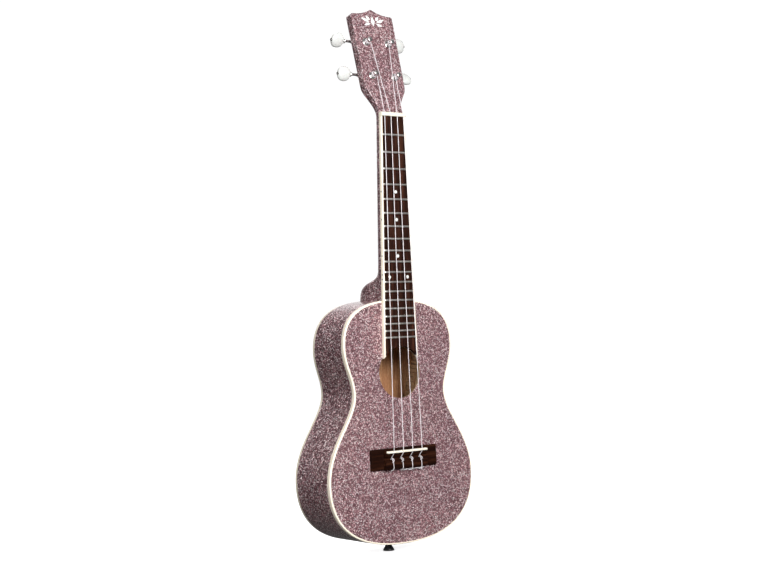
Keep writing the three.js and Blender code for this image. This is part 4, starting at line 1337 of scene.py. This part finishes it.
def make_tuners():
    for row, station in POST_STATIONS.items():
        for side_name, side in (("left", -1), ("right", 1)):
            label = f"{row}_{side_name}"
            place = tuner_place(side, station)
            make_plate(label, place)
            make_ferrule(label, side, station)
            make_post(label, place)
            make_worm(label, place)
            make_knob(label, place)


# ---------------------------------------------------------------- strings

WIND_RADIUS = POST_WAIST + STRING_RADIUS
WIND_TURNS = 2.75
WIND_HIGH = 5.0
WIND_PITCH = 0.87


def make_strings():
    bottom = BRIDGE_LOW.z
    for number, (saddle_x, nut_x) in enumerate(zip(STRING_SADDLE_X, STRING_NUT_X), 1):
        side = math.copysign(1, nut_x)
        row = "lower" if number in (1, 4) else "upper"
        station = POST_STATIONS[row]
        label = f"{row}_{'left' if side < 0 else 'right'}"
        at = lambda x, height, z: Vector((x, FRONT_Y - height, z))
        start = on_head(side * (POST_X - WIND_RADIUS), -WIND_HIGH, station)
        speaking = smooth_route([
            at(saddle_x, TIE_HOLE_HEIGHT, bottom + 0.3), at(saddle_x, TIE_HOLE_HEIGHT, TIE_TOP - 0.4),
            at(saddle_x, TIE_HOLE_HEIGHT + 0.5, TIE_TOP + 1.3),
            at(saddle_x, STRING_SADDLE_HEIGHT - 0.9, SADDLE_Z - 1.9),
            at(saddle_x, STRING_SADDLE_HEIGHT - 0.1, SADDLE_Z - 0.5),
        ], 5)
        speaking += [
            at(saddle_x, STRING_SADDLE_HEIGHT, SADDLE_Z + 0.3), at(nut_x, STRING_NUT_HEIGHT, NUT_Z + 0.2),
            at(nut_x, STRING_NUT_HEIGHT - 0.05, NUT_Z + 1.1),
            at(nut_x, STRING_NUT_HEIGHT - 0.3, NUT_Z + 1.9), start,
        ]
        add_piece(
            f"string_{number}_strand", [tube(speaking, STRING_RADIUS, 12)], [NYLON],
            stands_for=[f"string_{number}"], crease=60)
        steps = 84
        winding = []
        for i in range(steps + 1):
            angle = 2 * math.pi * WIND_TURNS * i / steps
            height = WIND_HIGH - WIND_PITCH * WIND_TURNS * i / steps
            winding.append(on_head(
                side * (POST_X - WIND_RADIUS * math.cos(angle)), -height,
                station + WIND_RADIUS * math.sin(angle)))
        tail = winding[-1] + (winding[-1] - winding[-2]).normalized() * 2.6
        winding.append(tail)
        add_piece(
            f"string_{number}_winding", [tube(winding, STRING_RADIUS, 10)], [NYLON],
            f"string_post_{label}", crease=60)


def make_knots():
    """Each string comes back over the tie block, loops round itself and is tucked in."""
    bottom = BRIDGE_LOW.z
    over = TIE_HEIGHT + STRING_RADIUS
    for number, x in enumerate(STRING_SADDLE_X, 1):
        at = lambda dx, height, z, x=x: Vector((x + dx, FRONT_Y - height, z))
        loop = smooth_route([
            at(0, TIE_HOLE_HEIGHT, bottom + 1.0), at(0.05, TIE_HOLE_HEIGHT + 0.1, bottom - 0.7),
            at(0.15, TIE_HOLE_HEIGHT + 1.9, bottom - 1.0), at(0.3, over - 0.9, bottom - 0.3),
            at(0.45, over, bottom + 1.2), at(0.5, over + 0.05, bottom + 4.0),
            at(0.25, over + 0.05, TIE_TOP - 3.0), at(-0.5, over + 0.1, TIE_TOP - 0.9),
            at(-1.1, over - 0.6, TIE_TOP + 0.6), at(-0.6, over - 1.8, TIE_TOP + 1.5),
            at(0.5, over - 1.9, TIE_TOP + 1.6), at(1.15, over - 0.8, TIE_TOP + 0.8),
            at(0.8, over + 0.5, TIE_TOP - 0.5), at(-0.1, over + 0.95, TIE_TOP - 1.3),
            at(-0.9, over + 0.6, TIE_TOP - 1.6), at(-1.15, over + 0.02, TIE_TOP - 2.6),
        ], 6)
        add_piece(
            f"string_{number}_tie_loop", [tube(loop, STRING_RADIUS, 10)], [NYLON], crease=60)
    first, second, third, last = STRING_SADDLE_X
    base = TIE_HEIGHT - 2.6
    stub = [(first + 0.1, base + 1.2, 0.5), (first - 0.3, base + 0.6, 1.1), (first - 1.3, base + 0.3, 1.6)]
    long_tail = [
        (second + 0.3, base + 1.6, 0.9), (second + 2.2, base + 1.1, 1.6), (second + 5.5, base + 0.8, 1.5),
        (0.6, base + 0.9, 1.1), (third - 1.0, base + 1.8, 1.9), (third + 2.6, base + 1.2, 1.3),
        (last - 5.5, base + 0.9, 1.0), (last - 1.0, base + 1.6, 1.8), (last + 3.0, base + 1.4, 0.9),
        (last + 5.2, base + 1.2, 0.6),
    ]
    short_tail = [
        (last + 0.3, base + 1.0, 1.0), (last + 1.6, base + 0.6, 2.0), (last + 3.2, base + 0.3, 3.6),
    ]
    tails = {"string_1_tail": stub, "string_2_tail": long_tail, "string_4_tail": short_tail}
    for name, points in tails.items():
        places = [Vector((x, FRONT_Y - height, bottom - below)) for x, height, below in points]
        route = smooth_route(places, 6)
        add_piece(name, [tube(route, STRING_RADIUS * 0.95, 10)], [NYLON], crease=60)


# ---------------------------------------------------------------- studio

CAMERA_AZIMUTH, CAMERA_ELEVATION, CAMERA_ROLL = -37.8, -1.404, -2.015  # degrees
CAMERA_TARGET = Vector((-22.355, -32.0, 309.45))
CAMERA_DISTANCE = 1718.1
CAMERA_LENS = 71.8
STUDIO_CENTRE = Vector((0, 0, 310))
ROOM_HIGH, ROOM_LOW, PAPER = 0.28, 0.08, 0.62  # how brightly the room and its paper shine


def direction(azimuth, elevation):
    """Unit vector towards a viewer; azimuth 0 faces the soundboard."""
    a, e = math.radians(azimuth), math.radians(elevation)
    return Vector((math.sin(a) * math.cos(e), -math.cos(a) * math.cos(e), math.sin(e)))


def make_camera():
    towards = direction(CAMERA_AZIMUTH, CAMERA_ELEVATION)
    azimuth, roll = math.radians(CAMERA_AZIMUTH), math.radians(CAMERA_ROLL)
    level = Vector((math.cos(azimuth), math.sin(azimuth), 0))
    upright = towards.cross(level)
    right = level * math.cos(roll) + upright * math.sin(roll)
    up = upright * math.cos(roll) - level * math.sin(roll)
    camera = bpy.data.objects.new("camera", bpy.data.cameras.new("camera"))
    camera.data.lens = CAMERA_LENS
    camera.data.sensor_width = 36
    camera.data.sensor_fit = "HORIZONTAL"
    camera.data.clip_start, camera.data.clip_end = 0.05, 60
    turn = Matrix((right, up, towards)).transposed().to_4x4()
    camera.matrix_world = Matrix.Translation((CAMERA_TARGET + towards * CAMERA_DISTANCE) * MM) @ turn
    bpy.context.scene.collection.objects.link(camera)
    bpy.context.scene.camera = camera


def make_softbox(name, azimuth, elevation, distance, width, height, power, tint=(1, 1, 1)):
    light = bpy.data.lights.new(name, "AREA")
    light.shape = "RECTANGLE"
    light.size, light.size_y = width, height
    light.energy = power
    light.color = tint
    box = bpy.data.objects.new(name, light)
    towards = direction(azimuth, elevation)
    box.location = STUDIO_CENTRE * MM + towards * distance
    box.rotation_mode = "QUATERNION"
    box.rotation_quaternion = towards.to_track_quat("Z", "Y")
    box.visible_camera = False
    bpy.context.scene.collection.objects.link(box)


def make_world():
    """White to the camera; to everything else a dim room with a lit paper behind the object."""
    world = bpy.data.worlds.new("studio")
    world.use_nodes = True
    bpy.context.scene.world = world
    nodes, links = world.node_tree.nodes, world.node_tree.links

    def math_node(kind, first, second):
        node = nodes.new("ShaderNodeMath")
        node.operation = kind
        for socket, value in zip(node.inputs, (first, second)):
            if isinstance(value, bpy.types.NodeSocket):
                links.new(value, socket)
            else:
                socket.default_value = value
        return node.outputs[0]

    def between(value, low, high):
        node = nodes.new("ShaderNodeMapRange")
        node.interpolation_type = "SMOOTHSTEP"
        links.new(value, node.inputs["Value"])
        node.inputs["From Min"].default_value, node.inputs["From Max"].default_value = low, high
        return node.outputs["Result"]

    def facing(azimuth):
        node = nodes.new("ShaderNodeVectorMath")
        node.operation = "DOT_PRODUCT"
        links.new(sky, node.inputs[0])
        node.inputs[1].default_value = direction(azimuth, 0)
        return node.outputs["Value"]

    sky = nodes.new("ShaderNodeTexCoord").outputs["Generated"]
    split = nodes.new("ShaderNodeSeparateXYZ")
    links.new(sky, split.inputs[0])
    height = split.outputs["Z"]
    paper = math_node("MULTIPLY", between(facing(142), 0.78, 0.86), between(height, 0.56, 0.50))
    paper = math_node("MULTIPLY", paper, between(height, -0.25, -0.05))
    rise = math_node("MULTIPLY", between(height, -0.15, 0.15), ROOM_HIGH - ROOM_LOW)
    room = math_node("ADD", ROOM_LOW, rise)
    shade = math_node("MULTIPLY", between(math_node("ABSOLUTE", facing(38), 0), 0.6, 0.9), 0.75)
    room = math_node("MULTIPLY", room, math_node("SUBTRACT", 1.0, shade))
    level = math_node("ADD", room, math_node("MULTIPLY", paper, PAPER))

    ambient = nodes["Background"]
    ambient.inputs["Color"].default_value = (1.0, 0.98, 0.98, 1)
    links.new(level, ambient.inputs["Strength"])
    backdrop = nodes.new("ShaderNodeBackground")
    backdrop.inputs["Color"].default_value = (1, 1, 1, 1)
    backdrop.inputs["Strength"].default_value = 1.05
    choose = nodes.new("ShaderNodeMixShader")
    seen = nodes.new("ShaderNodeLightPath")
    links.new(seen.outputs["Is Camera Ray"], choose.inputs[0])
    links.new(ambient.outputs[0], choose.inputs[1])
    links.new(backdrop.outputs[0], choose.inputs[2])
    links.new(choose.outputs[0], nodes["World Output"].inputs["Surface"])


def make_studio():
    make_world()
    make_softbox("key_softbox", -10, 16, 1.75, 0.7, 0.7, 45)
    make_softbox("side_softbox", -50, 4, 1.9, 0.6, 0.5, 12)
    make_softbox("left_softbox", -97, 8, 1.8, 0.8, 0.8, 4.5)
    make_softbox("back_softbox", 165, 58, 2.2, 1.2, 1.2, 20)

    floor = Shader("studio_floor", {"Roughness": 0.6, "Specular IOR Level": 0.2})
    mottle = floor.noise(floor.place(), 0.004, detail=3)
    floor.set("Base Color", floor.ramp(mottle, [(0.3, (0.86, 0.86, 0.86)), (0.7, (0.88, 0.88, 0.88))]))
    floor.set("Emission Color", (1, 1, 1, 1))
    floor.set("Emission Strength", 0.8)
    reach, floor_z = 14.0, -0.0006
    sheet = bpy.data.meshes.new("studio_floor")
    corners = [(x * reach, y * reach, floor_z) for x, y in ((-1, -1), (1, -1), (1, 1), (-1, 1))]
    sheet.from_pydata(corners, [], [(0, 1, 2, 3)])
    sheet.materials.append(floor.material)
    ground = bpy.data.objects.new("studio_floor", sheet)
    ground.visible_diffuse = ground.visible_glossy = False
    bpy.context.scene.collection.objects.link(ground)
    ground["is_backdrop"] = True
    bpy.context.scene.view_settings.view_transform = "Standard"


make_camera()
make_studio()
make_soundboard()
make_back()
make_bindings()
make_sides()
make_linings()
make_end_block("neck_block", 27, 26, True)
make_end_block("tail_block", 24, 18, False)
make_bracing()
make_strap_button()
make_neck()
make_fretboard()
make_frets()
make_markers()
make_nut()
make_head_ornament()
make_bridge()
make_tuners()
make_strings()
make_knots()

boxes = {"cad": cad_box, "visual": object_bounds()}
{name: [list(corner) for corner in box] for name, box in boxes.items()}
